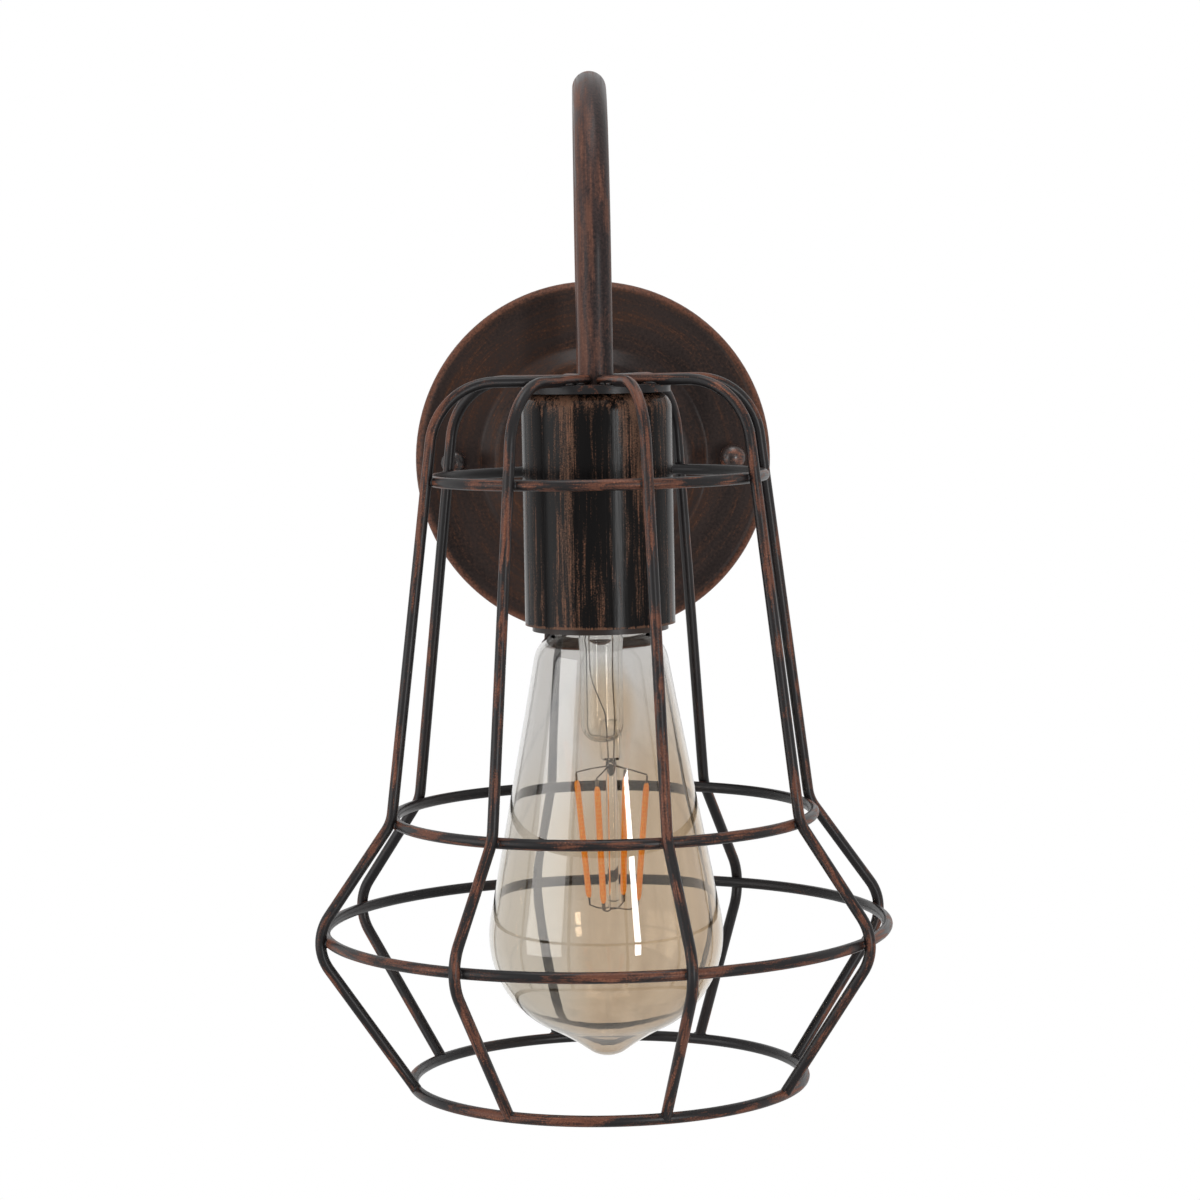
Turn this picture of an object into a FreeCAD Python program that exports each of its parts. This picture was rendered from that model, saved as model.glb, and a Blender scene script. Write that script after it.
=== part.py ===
import FreeCAD, Part
import math
import os

import Sketcher
from FreeCAD import Placement, Rotation, Vector

# Industrial wall lamp: a round wall canopy, a bent tube arm that loops up and over,
# and a wire cage hung from the arm round a squirrel-cage filament bulb in a metal cup.
# Millimetres, +Z up. The wall is the plane y = 0, and the lamp stands out towards -Y.
# The origin is on the wall at the canopy's centre.

os.makedirs("parts", exist_ok=True)
doc = FreeCAD.newDocument("WallLamp")

# Driving lengths, in millimetres
LENGTHS = {
    # clearances shared by several pieces
    "thread_gap": 0.05,
    "bolt_gap": 0.25,
    "turn_gap": 0.4,
    "contact_gap": 0.3,
    "cut_over": 1.0,
    # canopy: spun steel cover on the wall
    "canopy_d": 108.6,
    "canopy_wall": 1.0,
    "rim_depth": 14.5,
    "rim_round": 3.0,
    "rim_w": 19.8,
    "boss_slope": 5.0,
    "boss_rise": 4.5,
    "boss_round": 3.0,
    "boss_foot_round": 2.0,
    "nose_d": 24.0,
    "nose_rise": 3.0,
    # arm: bent tube, with a threaded nipple in each end
    "arm_d": 9.4,
    "nipple_d": 8.0,
    "nipple_bore": 5.6,
    "nipple_grip": 6.5,
    "nipple_show": 1.5,
    "exit_run": 7.0,
    "exit_bend_r": 14.0,
    "rear_leg": 45.0,
    "arch_r": 48.5,
    "front_leg": 33.6,
    "nut_flats": 13.0,
    "nut_h": 4.0,
    "washer_d": 14.0,
    "washer_t": 0.8,
    # wall bracket: steel strap behind the canopy
    "bracket_end": 6.0,
    "bracket_w": 22.0,
    "bracket_t": 2.0,
    "bracket_lift": 5.0,
    "bracket_ramp": 3.0,
    "bracket_ramp_in": 8.0,
    "bracket_round": 4.0,
    "slot_in": 7.5,
    "slot_w": 4.5,
    "slot_len": 12.0,
    "ear_w": 32.0,
    "ear_top": 32.0,
    "stud_edge": 11.8,
    "stud_d": 4.0,
    "stud_head_d": 7.0,
    "stud_head_h": 2.4,
    "stud_nut_flats": 7.0,
    "stud_nut_h": 2.4,
    "ball_d": 8.0,
    "ball_neck_d": 6.4,
    "ball_neck_h": 1.6,
    "ball_hole": 4.4,
    # mains parts on the bracket
    "block_w": 28.0,
    "block_h": 11.0,
    "block_t": 9.0,
    "block_pitch": 9.0,
    "block_bore": 3.6,
    "block_edge": 2.0,
    "block_wall": 0.6,
    "pole_screw_d": 3.0,
    "pole_screw_head_d": 4.4,
    "pole_screw_head_h": 1.6,
    "pole_screw_proud": 0.6,
    "earth_x": 15.0,
    "earth_edge": 0.5,
    "earth_screw_d": 4.0,
    "earth_head_d": 7.0,
    "earth_head_h": 2.4,
    "earth_cup_d": 8.0,
    "earth_cup_t": 0.8,
    "earth_tail": 2.0,
    # cage: round steel wire, resistance welded
    "wire_d": 3.0,
    "weld_sink": 0.4,
    "rib_end_sink": 0.8,
    "rib_start_gap": 1.0,
    "rib_top_bend_r": 18.0,
    "rib_waist_bend_r": 10.0,
    "rib_belly_bend_r": 12.5,
    "ring_1_r": 44.8,
    "ring_2_r": 56.9,
    "ring_3_r": 76.4,
    "ring_4_r": 53.4,
    "ring_1_drop": 26.1,
    "ring_2_drop": 117.6,
    "ring_3_drop": 148.1,
    "ring_4_drop": 190.0,
    "plate_d": 40.0,
    "plate_t": 2.2,
    # cup: drawn steel cover over the lampholder
    "cup_d": 40.6,
    "cup_h": 62.4,
    "cup_wall": 1.0,
    "cup_round": 4.5,
    # lampholder: ceramic body with a screw shell for a standard 27 mm cap
    "cup_nut_h": 3.5,
    "hub_d": 12.0,
    "hub_h": 5.0,
    "hub_plate_t": 1.5,
    "hub_plate_w": 11.0,
    "hub_plate_len": 30.0,
    "hub_screw_spacing": 22.0,
    "hub_screw_d": 3.0,
    "hub_screw_len": 9.0,
    "hub_screw_head_d": 5.4,
    "hub_screw_head_h": 1.8,
    "holder_d": 35.6,
    "holder_lip_d": 36.8,
    "holder_lip_h": 8.0,
    "holder_proud": 1.6,
    "holder_cavity": 33.0,
    "holder_mouth": 9.0,
    "holder_mouth_d": 29.2,
    "channel_len": 30.0,
    "channel_w": 9.0,
    "channel_depth": 7.0,
    "shell_wall": 0.4,
    "shell_gap": 0.2,
    "shell_len": 21.0,
    "tab_w": 5.0,
    "tongue_t": 0.6,
    "tongue_w": 5.0,
    "tongue_x": 11.5,
    "tongue_drop": 7.4,
    "tongue_slope": 3.4,
    "tongue_flat": 3.2,
    "tongue_toe": 2.2,
    "terminal_w": 5.0,
    "terminal_depth": 7.0,
    "terminal_h": 5.0,
    "terminal_screw_d": 3.0,
    "terminal_head_d": 4.4,
    "terminal_head_h": 1.4,
    # insulated wires inside
    "lead_d": 2.2,
    "lead_pitch": 2.6,
    "lead_bend_r": 3.4,
    "lead_turn_r": 5.0,
    "lead_tail": 7.0,
    # bulb: clear amber glass, standard 27 mm screw cap
    "cap_d": 26.0,
    "cap_wall": 0.4,
    "cap_len": 20.8,
    "cap_skirt_d": 26.6,
    "cap_skirt_len": 3.3,
    "cap_top_d": 22.0,
    "insulator_h": 2.8,
    "insulator_top_d": 11.0,
    "tip_contact_d": 9.0,
    "tip_contact_h": 1.2,
    "glass_d": 64.0,
    "glass_len": 117.2,
    "glass_wall": 0.9,
    "glass_in_cap": 5.0,
    "glass_collar_d": 25.0,
    "glass_neck_d": 26.2,
    "glass_shoulder_d": 16.8,
    "glass_shoulder_r": 10.0,
    "glass_shoulder_drop": 11.5,
    "glass_belly_r": 28.0,
    "glass_belly_h": 33.0,
    "glass_dip_r": 15.0,
    "glass_tip_r": 8.0,
    "stem_d": 11.6,
    "stem_len": 31.2,
    "stem_round": 4.8,
    "stem_press_w": 6.0,
    "stem_press_t": 3.2,
    "stem_press_len": 11.0,
    "stem_press_proud": 5.0,
    "mount_off": 2.2,
    "rod_d": 3.0,
    "rod_len": 41.0,
    "filament_d": 1.7,
    "filament_len": 36.0,
    "filament_drop": 4.0,
    "filament_top_r": 10.4,
    "filament_foot_r": 7.0,
    "support_d": 0.5,
    "support_rise": 2.2,
    "board_w": 14.0,
    "board_h": 11.0,
    "board_t": 1.6,
}
ANGLES = {
    "cage_turn": 15.2,
    "filament_turn": 67.0,
}
COUNTS = {
    "rib_count": 8,
    "filament_count": 4,
    "pole_count": 3,
}

sheet = doc.addObject("Spreadsheet::Sheet", "Dims")
for row, (alias, number) in enumerate({**LENGTHS, **ANGLES, **COUNTS}.items(), start=1):
    sheet.set(f"A{row}", alias)
    sheet.set(f"B{row}", str(number))
    sheet.setAlias(f"B{row}", alias)
doc.recompute()


class Size:
    """A number worked out from the sheet, and the expression that binds it to the sheet."""

    def __init__(self, value, text):
        self.value = float(value)
        self.text = text

    def __add__(self, other):
        other = as_size(other)
        return Size(self.value + other.value, f"({self.text} + {other.text})")

    def __sub__(self, other):
        other = as_size(other)
        return Size(self.value - other.value, f"({self.text} - {other.text})")

    def __mul__(self, other):
        other = as_size(other)
        return Size(self.value * other.value, f"({self.text} * {other.text})")

    def __truediv__(self, other):
        other = as_size(other)
        return Size(self.value / other.value, f"({self.text} / {other.text})")

    def __neg__(self):
        return Size(-self.value, f"(-1 * {self.text})")


def as_size(number):
    return number if isinstance(number, Size) else Size(number, repr(number))


def size_of(alias):
    return Size(sheet.get(alias), f"Dims.{alias}")


def root(number):
    """The square root of a size."""
    return Size(math.sqrt(number.value), f"sqrt({number.text})")


class Dims:
    """Reads any cell of the sheet by its alias, as a Size."""

    def __getattr__(self, alias):
        return size_of(alias)


dim = Dims()
ZERO = Size(0, "0")

# Places that several pieces share, each worked out from the sheet
canopy_depth = dim.rim_depth + dim.boss_rise + dim.nose_rise
stud_spacing = dim.canopy_d - dim.stud_edge * 2
bracket_flat_len = stud_spacing - dim.bracket_ramp_in * 2
slot_spacing = bracket_flat_len - dim.slot_in * 2
earth_z = dim.earth_cup_d / 2 + dim.earth_edge - dim.bracket_w / 2
arm_reach = canopy_depth + dim.exit_run + dim.exit_bend_r + dim.arch_r * 2
arch_z = dim.exit_bend_r + dim.rear_leg
plate_top_z = arch_z - dim.front_leg
cup_top_z = plate_top_z - dim.plate_t
bar_z = plate_top_z + dim.wire_d / 2 - dim.weld_sink
cup_floor_z = cup_top_z - dim.cup_wall
hub_top_z = cup_floor_z - dim.cup_nut_h
holder_top_z = hub_top_z - dim.hub_h - dim.hub_plate_t
holder_foot_z = cup_top_z - dim.cup_h - dim.holder_proud
ceiling_z = holder_foot_z + dim.holder_cavity
channel_z = holder_top_z - dim.channel_depth
shell_bore_r = dim.cap_d / 2 + dim.turn_gap
shell_r = shell_bore_r + dim.shell_wall
shell_foot_z = holder_foot_z + dim.holder_mouth
shell_top_z = shell_foot_z + dim.shell_len
tongue_z = ceiling_z - dim.tongue_drop
bulb_top_z = tongue_z - dim.contact_gap
cap_top_z = bulb_top_z - dim.tip_contact_h - dim.insulator_h
cap_foot_z = cap_top_z - dim.cap_len
arm_bore = dim.nipple_d + dim.thread_gap * 2
block_foot_z = (dim.bracket_w + dim.ear_top * 2) / 4 - dim.block_h / 2
lead_y = -(dim.bracket_t + dim.block_t / 2)
steps = {1: dim.ring_1_drop, 2: dim.ring_2_drop, 3: dim.ring_3_drop, 4: dim.ring_4_drop}
ring_z = {k: bar_z - drop for k, drop in steps.items()}
ring_r = {1: dim.ring_1_r, 2: dim.ring_2_r, 3: dim.ring_3_r, 4: dim.ring_4_r}

nodes = []


def node(thing, label):
    """Take an object as a finished sub-part, under its own label."""
    thing.Label = label
    nodes.append(thing)
    return thing


def bind(thing, path, number):
    """Tie one property of an object to the sheet."""
    thing.setExpression(path, number.text)


def place(thing, x=ZERO, y=ZERO, z=ZERO, turn=None):
    """Set a placement whose position follows the sheet."""
    thing.Placement = Placement(Vector(x.value, y.value, z.value), turn or Rotation())
    for axis, number in (("x", x), ("y", y), ("z", z)):
        if number is not ZERO:
            bind(thing, f"Placement.Base.{axis}", number)
    return thing


def on_lamp_axis(thing, z=ZERO, turn=None):
    """Place a thing on the vertical axis that the arm's front leg, cup and bulb share."""
    return place(thing, y=-arm_reach, z=z, turn=turn)


def new_body(name):
    return doc.addObject("PartDesign::Body", name)


def new_sketch(body, role, name, offset=None):
    """A sketch on one of its own body's origin planes, or parallel to it at a set distance."""
    sketch = body.newObject("Sketcher::SketchObject", name)
    origin_plane = next(o for o in body.Origin.OriginFeatures if o.Role == role)
    sketch.AttachmentSupport = [(origin_plane, "")]
    sketch.MapMode = "FlatFace"
    if offset is not None:
        sketch.AttachmentOffset = Placement(Vector(0, 0, offset.value), Rotation())
        bind(sketch, "AttachmentOffset.Base.z", offset)
    return sketch


def constrain(sketch, kind, *places, size=None):
    """Add a constraint, and bind its value to the sheet where it has one."""
    if size is None:
        return sketch.addConstraint(Sketcher.Constraint(kind, *places))
    index = sketch.addConstraint(Sketcher.Constraint(kind, *places, size.value))
    bind(sketch, f"Constraints[{index}]", size)
    return index


def hold(sketch, geometry, position, x, y):
    """Hold a point of a sketch at x and y from the sketch's origin."""
    for kind, axis, number in (("DistanceX", -2, x), ("DistanceY", -1, y)):
        if number is ZERO:
            constrain(sketch, "PointOnObject", geometry, position, axis)
        elif number.value > 0:
            constrain(sketch, kind, -1, 1, geometry, position, size=number)
        else:
            constrain(sketch, kind, geometry, position, -1, 1, size=-number)


def flat(x, y):
    return Vector(x.value, y.value, 0)


def draw_outline(sketch, points):
    """A closed outline of straight edges, each corner held by the sheet."""
    first = sketch.GeometryCount
    count = len(points)
    for here, after in zip(points, points[1:] + points[:1]):
        sketch.addGeometry(Part.LineSegment(flat(*here), flat(*after)))
    for i in range(count):
        constrain(sketch, "Coincident", first + i, 2, first + (i + 1) % count, 1)
    for i, point in enumerate(points):
        hold(sketch, first + i, 1, *point)


def draw_circle(sketch, diameter, x=ZERO, y=ZERO):
    centre = flat(x, y)
    index = sketch.addGeometry(Part.Circle(centre, Vector(0, 0, 1), diameter.value / 2))
    constrain(sketch, "Diameter", index, size=diameter)
    hold(sketch, index, 3, x, y)


def draw_box(sketch, low_x, high_x, low_y, high_y):
    corners = [(low_x, low_y), (high_x, low_y), (high_x, high_y), (low_x, high_y)]
    draw_outline(sketch, corners)


def draw_slot(sketch, x, length, width):
    """A round-ended slot along x, centred on x."""
    radius = width / 2
    half_run = length / 2 - radius
    left, right, r = (x - half_run).value, (x + half_run).value, radius.value
    top = sketch.addGeometry(Part.LineSegment(Vector(left, r, 0), Vector(right, r, 0)))
    foot = sketch.addGeometry(Part.LineSegment(Vector(left, -r, 0), Vector(right, -r, 0)))
    quarter = math.pi / 2
    up = Vector(0, 0, 1)
    left_round = Part.ArcOfCircle(Part.Circle(Vector(left, 0, 0), up, r), quarter, 3 * quarter)
    right_round = Part.ArcOfCircle(Part.Circle(Vector(right, 0, 0), up, r), -quarter, quarter)
    left_end = sketch.addGeometry(left_round)
    right_end = sketch.addGeometry(right_round)
    constrain(sketch, "Tangent", top, 1, left_end, 1)
    constrain(sketch, "Tangent", left_end, 2, foot, 1)
    constrain(sketch, "Tangent", foot, 2, right_end, 1)
    constrain(sketch, "Tangent", right_end, 2, top, 2)
    constrain(sketch, "Radius", left_end, size=radius)
    hold(sketch, left_end, 3, x - half_run, ZERO)
    hold(sketch, right_end, 3, x + half_run, ZERO)


def turn_outline(body, points, role="XZ_Plane"):
    """Revolve an outline of (radius, height) points about the sketch's upright axis."""
    sketch = new_sketch(body, role, f"{body.Name}_outline")
    draw_outline(sketch, points)
    feature = body.newObject("PartDesign::Revolution", f"{body.Name}_turned")
    feature.Profile = sketch
    feature.ReferenceAxis = (sketch, ["V_Axis"])
    feature.Angle = 360
    return feature


def turned(label, points, role="XZ_Plane"):
    """A sub-part that is one turned solid, still at the sketch's own origin."""
    body = new_body(label)
    turn_outline(body, points, role)
    return body


def pad(body, sketch, length, reverse=False, midplane=False):
    feature = body.newObject("PartDesign::Pad", f"{sketch.Name}_pad")
    feature.Profile = sketch
    feature.Length = length.value
    bind(feature, "Length", length)
    feature.Reversed = reverse
    feature.Midplane = midplane
    return feature


def pocket(body, sketch, depth=None, reverse=False):
    """Cut a sketch out of its body, right through or to a depth, and prove that it cuts."""
    doc.recompute()
    before = body.Shape.Volume
    feature = body.newObject("PartDesign::Pocket", f"{sketch.Name}_cut")
    feature.Profile = sketch
    if depth is None:
        feature.Type = "ThroughAll"
        feature.Midplane = True
    else:
        feature.Length = depth.value
        bind(feature, "Length", depth)
        feature.Reversed = reverse
    doc.recompute()
    if not body.Shape.Volume < before:
        raise RuntimeError(f"{feature.Name} cuts nothing")
    return feature


def fillet(body, radius, picks):
    """Round the edges of the body's last feature that the test picks."""
    doc.recompute()
    tip = body.Tip
    names = [f"Edge{i}" for i, edge in enumerate(tip.Shape.Edges, start=1) if picks(edge)]
    if not names:
        raise RuntimeError(f"{body.Name} has no edge to round")
    feature = body.newObject("PartDesign::Fillet", f"{body.Name}_round{len(body.Group)}")
    feature.Base = (tip, names)
    feature.Radius = radius.value
    bind(feature, "Radius", radius)
    return feature


def circle_at(radius, along, axis):
    """Picks the round edge of one radius at one place along an axis."""
    near = dim.thread_gap.value / 10

    def picks(edge):
        curve = edge.Curve
        if not isinstance(curve, Part.Circle):
            return False
        place_along = getattr(curve.Center, axis)
        return abs(curve.Radius - radius.value) < near and abs(place_along - along.value) < near

    return picks


def primitive(kind, name, **sizes):
    """A Part primitive with its sizes bound to the sheet."""
    thing = doc.addObject(f"Part::{kind}", name)
    for prop, number in sizes.items():
        setattr(thing, prop, number.value)
        bind(thing, prop, number)
    return thing


def cut(label, base, tool):
    thing = doc.addObject("Part::Cut", label)
    thing.Base = base
    thing.Tool = tool
    return thing


def fuse(name, *things):
    thing = doc.addObject("Part::MultiFuse", name)
    thing.Shapes = list(things)
    thing.Refine = True
    return thing


def group(label, *things):
    """Several separate solids under one label, as for identical fasteners."""
    thing = doc.addObject("Part::Compound", label)
    thing.Links = list(things)
    return thing


def pair(label, thing, normal, y=ZERO):
    """A solid and its mirror image across the plane with that normal."""
    twin = doc.addObject("Part::Mirroring", f"{label}_twin")
    twin.Source = thing
    twin.Normal = normal
    twin.Base = Vector(0, y.value, 0)
    if y is not ZERO:
        bind(twin, "Base.y", y)
    return group(label, thing, twin)


ACROSS_X = Vector(1, 0, 0)
ACROSS_Y = Vector(0, 1, 0)
TO_WALL = Rotation(Vector(1, 0, 0), -90)
FROM_WALL = Rotation(Vector(1, 0, 0), 90)


def hex_nut(name, flats, height, hole_d):
    """A plain hexagon nut standing on its own z = 0."""
    prism = primitive("Prism", f"{name}_hex", Circumradius=flats / root(as_size(3)), Height=height)
    prism.Polygon = 6
    hole = primitive("Cylinder", f"{name}_hole", Radius=hole_d / 2, Height=height + dim.cut_over * 2)
    place(hole, z=-dim.cut_over)
    return cut(name, prism, hole)


def join_tangent(sketch, edges):
    """Add lines and arcs in order, each tangent to the next, and return their numbers and ends."""
    chain = []
    for edge, start in edges:
        index = sketch.addGeometry(edge)
        starts_here = sketch.getPoint(index, 1).distanceToPoint(start) < dim.thread_gap.value
        chain.append((index, 1 if starts_here else 2, 2 if starts_here else 1))
    for (index, _, end), (after, begin, _) in zip(chain, chain[1:]):
        constrain(sketch, "Tangent", index, end, after, begin)
    return chain


def rounded_edges(corners, radii):
    """Lines through the corners, joined by arcs of the radii, each with its starting point.

    Where one arc ends just where the next begins, there is no line between them.
    """
    edges = []
    here = corners[0]
    nothing = dim.thread_gap.value / 100
    for before, corner, after, radius in zip(corners, corners[1:], corners[2:], radii):
        back = (before - corner).normalize()
        ahead = (after - corner).normalize()
        half_turn = back.getAngle(ahead) / 2
        reach = radius / math.tan(half_turn)
        enter = corner + back * reach
        leave = corner + ahead * reach
        inward = (back + ahead).normalize()
        middle = corner + inward * (radius / math.sin(half_turn) - radius)
        if here.distanceToPoint(enter) > nothing:
            edges.append((Part.LineSegment(here, enter), here))
        edges.append((Part.Arc(enter, middle, leave), enter))
        here = leave
    edges.append((Part.LineSegment(here, corners[-1]), here))
    return edges


def sweep(body, path, profile, name):
    feature = body.newObject("PartDesign::AdditivePipe", name)
    feature.Profile = profile
    feature.Spine = (path, [f"Edge{i + 1}" for i in range(path_edges(path))])
    return feature


def path_edges(path):
    """How many edges of a path sketch are drawn for the sweep, not for construction."""
    return sum(not path.getConstruction(i) for i in range(path.GeometryCount))


# Wall side


def make_bracket():
    """Strap flat on the wall, with lifted ends for the studs and an ear for the mains parts."""
    body = new_body("wall_bracket")
    half = stud_spacing / 2 + dim.bracket_end
    flat_half = bracket_flat_len / 2
    lift_x = flat_half + dim.bracket_ramp
    back = [(-half, -dim.bracket_lift), (-lift_x, -dim.bracket_lift), (-flat_half, ZERO)]
    back += [(flat_half, ZERO), (lift_x, -dim.bracket_lift), (half, -dim.bracket_lift)]
    front = [(x, y - dim.bracket_t) for x, y in reversed(back)]
    strap = new_sketch(body, "XY_Plane", "strap_outline")
    draw_outline(strap, back + front)
    pad(body, strap, dim.bracket_w, midplane=True)
    ear = new_sketch(body, "XZ_Plane", "ear_outline")
    draw_box(ear, -dim.ear_w / 2, dim.ear_w / 2, -dim.bracket_w / 2, dim.ear_top)
    pad(body, ear, dim.bracket_t)
    holes = new_sketch(body, "XZ_Plane", "bracket_holes")
    for side in (-slot_spacing / 2, slot_spacing / 2):
        draw_slot(holes, side, dim.slot_len, dim.slot_w)
    for side in (-stud_spacing / 2, stud_spacing / 2):
        draw_circle(holes, dim.stud_d + dim.thread_gap * 2, x=side)
    draw_circle(holes, dim.earth_screw_d + dim.thread_gap * 2, x=dim.earth_x, y=earth_z)
    pocket(body, holes)

    def end_corner(edge):
        """Picks the lifted ends' four corners, which run through the strap's thickness."""
        ends = [vertex.Point for vertex in edge.Vertexes]
        near = dim.thread_gap.value / 10
        return all(abs(abs(p.x) - half.value) < near for p in ends) and abs(
            ends[0].z - ends[-1].z
        ) < near

    fillet(body, dim.bracket_round, end_corner)
    node(body, "wall_bracket")


def make_screw(name, shank_d, shank_len, head_d, head_h):
    """A cheese-head screw along +Z: the head's underside is at z = 0 and the shank goes up."""
    shank = primitive("Cylinder", f"{name}_shank", Radius=shank_d / 2, Height=shank_len)
    head = primitive("Cylinder", f"{name}_head", Radius=head_d / 2, Height=head_h)
    place(head, z=-head_h)
    return fuse(name, shank, head)


def make_studs():
    """The two screws that stand out of the bracket, their lock nuts and the ball nuts outside."""
    lift = dim.bracket_lift
    reach = dim.rim_depth + dim.ball_neck_h + dim.ball_d / 2 - lift
    stud = make_screw("stud", dim.stud_d, reach, dim.stud_head_d, dim.stud_head_h)
    place(stud, x=stud_spacing / 2, y=-lift, turn=FROM_WALL)
    node(pair("bracket_studs", stud, ACROSS_X), "bracket_studs")

    hole_d = dim.stud_d + dim.thread_gap * 2
    nut = hex_nut("stud_nut", dim.stud_nut_flats, dim.stud_nut_h, hole_d)
    place(nut, x=stud_spacing / 2, y=-(lift + dim.bracket_t), turn=FROM_WALL)
    node(pair("stud_lock_nuts", nut, ACROSS_X), "stud_lock_nuts")

    ball = primitive("Sphere", "ball_nut_dome", Radius=dim.ball_d / 2)
    place(ball, z=dim.ball_neck_h + dim.ball_d / 2 - dim.ball_d / 8)
    neck_h = dim.ball_neck_h + dim.ball_d / 4
    neck = primitive("Cylinder", "ball_nut_neck", Radius=dim.ball_neck_d / 2, Height=neck_h)
    bore = primitive(
        "Cylinder",
        "ball_nut_bore",
        Radius=hole_d / 2,
        Height=dim.cut_over + dim.ball_hole + dim.ball_neck_h,
    )
    place(bore, z=-dim.cut_over)
    ball_nut = cut("ball_nut", fuse("ball_nut_solid", ball, neck), bore)
    place(ball_nut, x=stud_spacing / 2, y=-dim.rim_depth, turn=FROM_WALL)
    node(pair("canopy_cap_nuts", ball_nut, ACROSS_X), "canopy_cap_nuts")


def make_canopy():
    """Spun cover: a flat rim, a raised boss and a small nose that the arm is clamped to."""
    body = new_body("canopy")
    wall = dim.canopy_wall
    rim_r = dim.canopy_d / 2
    foot_r = rim_r - dim.rim_w
    shoulder_r = foot_r - dim.boss_slope
    nose_r = dim.nose_d / 2
    boss_y = dim.rim_depth + dim.boss_rise
    hole_r = dim.nipple_d / 2 + dim.bolt_gap
    outer = [(rim_r, ZERO), (rim_r, -dim.rim_depth), (foot_r, -dim.rim_depth)]
    outer += [(shoulder_r, -boss_y), (nose_r, -canopy_depth), (hole_r, -canopy_depth)]
    inner = [(hole_r, wall - canopy_depth), (nose_r, wall - canopy_depth)]
    inner += [(shoulder_r - wall, wall - boss_y), (foot_r - wall, wall - dim.rim_depth)]
    inner += [(rim_r - wall, wall - dim.rim_depth), (rim_r - wall, ZERO)]
    turn_outline(body, outer + inner, "XY_Plane")
    holes = new_sketch(body, "XZ_Plane", "canopy_holes")
    for side in (-stud_spacing / 2, stud_spacing / 2):
        draw_circle(holes, dim.stud_d + dim.bolt_gap * 2, x=side)
    pocket(body, holes)
    fillet(body, dim.rim_round, circle_at(rim_r, -dim.rim_depth, "y"))
    fillet(body, dim.rim_round - wall, circle_at(rim_r - wall, wall - dim.rim_depth, "y"))
    fillet(body, dim.boss_foot_round, circle_at(foot_r, -dim.rim_depth, "y"))
    fillet(body, dim.boss_round, circle_at(shoulder_r, -boss_y, "y"))
    node(body, "canopy")


def make_terminal_block():
    """Three-pole block on the bracket's ear, its screws, and the earth screw beside the arm."""
    shell = primitive("Box", "block_box", Length=dim.block_w, Width=dim.block_t, Height=dim.block_h)
    back_y = -(dim.bracket_t + dim.block_t)
    place(shell, x=-dim.block_w / 2, y=back_y, z=block_foot_z)
    tools = []
    screws = []
    middle = (COUNTS["pole_count"] - 1) / 2
    seat = dim.pole_screw_head_h - dim.pole_screw_proud
    for i in range(COUNTS["pole_count"]):
        x = dim.block_pitch * (i - middle)
        mid_z = block_foot_z + dim.block_h / 2
        bore_h = dim.block_h + dim.cut_over * 2
        bore = primitive("Cylinder", f"pole_bore_{i}", Radius=dim.block_bore / 2, Height=bore_h)
        place(bore, x=x, y=lead_y, z=block_foot_z - dim.cut_over)
        well_r = dim.pole_screw_head_d / 2 + dim.thread_gap
        well_h = seat + dim.cut_over
        well = primitive("Cylinder", f"pole_well_{i}", Radius=well_r, Height=well_h)
        place(well, x=x, y=back_y + seat, z=mid_z, turn=FROM_WALL)
        hole_r = dim.pole_screw_d / 2 + dim.thread_gap
        hole = primitive("Cylinder", f"pole_hole_{i}", Radius=hole_r, Height=dim.block_t / 2)
        place(hole, x=x, y=lead_y, z=mid_z, turn=FROM_WALL)
        tools += [bore, well, hole]
        shank = dim.block_t / 2 - seat - dim.lead_d / 2
        screw = make_screw(
            f"pole_screw_{i}",
            dim.pole_screw_d,
            shank,
            dim.pole_screw_head_d,
            dim.pole_screw_head_h,
        )
        screws.append(place(screw, x=x, y=back_y + seat, z=mid_z, turn=TO_WALL))
    node(cut("terminal_block", shell, fuse("block_cuts", *tools)), "terminal_block")
    node(group("terminal_block_screws", *screws), "terminal_block_screws")

    head_y = -(dim.bracket_t + dim.earth_cup_t + dim.lead_d)
    screw_len = dim.bracket_t + dim.earth_cup_t + dim.lead_d - dim.contact_gap
    screw = make_screw(
        "earth_screw", dim.earth_screw_d, screw_len, dim.earth_head_d, dim.earth_head_h
    )
    place(screw, x=dim.earth_x, y=head_y, z=earth_z, turn=TO_WALL)
    node(screw, "earth_screw")
    washer = primitive(
        "Cylinder", "earth_washer_disc", Radius=dim.earth_cup_d / 2, Height=dim.earth_cup_t
    )
    hole = primitive(
        "Cylinder",
        "earth_washer_hole",
        Radius=dim.earth_screw_d / 2 + dim.thread_gap,
        Height=dim.earth_cup_t + dim.cut_over * 2,
    )
    place(hole, z=-dim.cut_over)
    cup = cut("earth_washer", washer, hole)
    place(cup, x=dim.earth_x, y=-dim.bracket_t, z=earth_z, turn=FROM_WALL)
    node(cup, "earth_cup_washer")


# Arm


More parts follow.
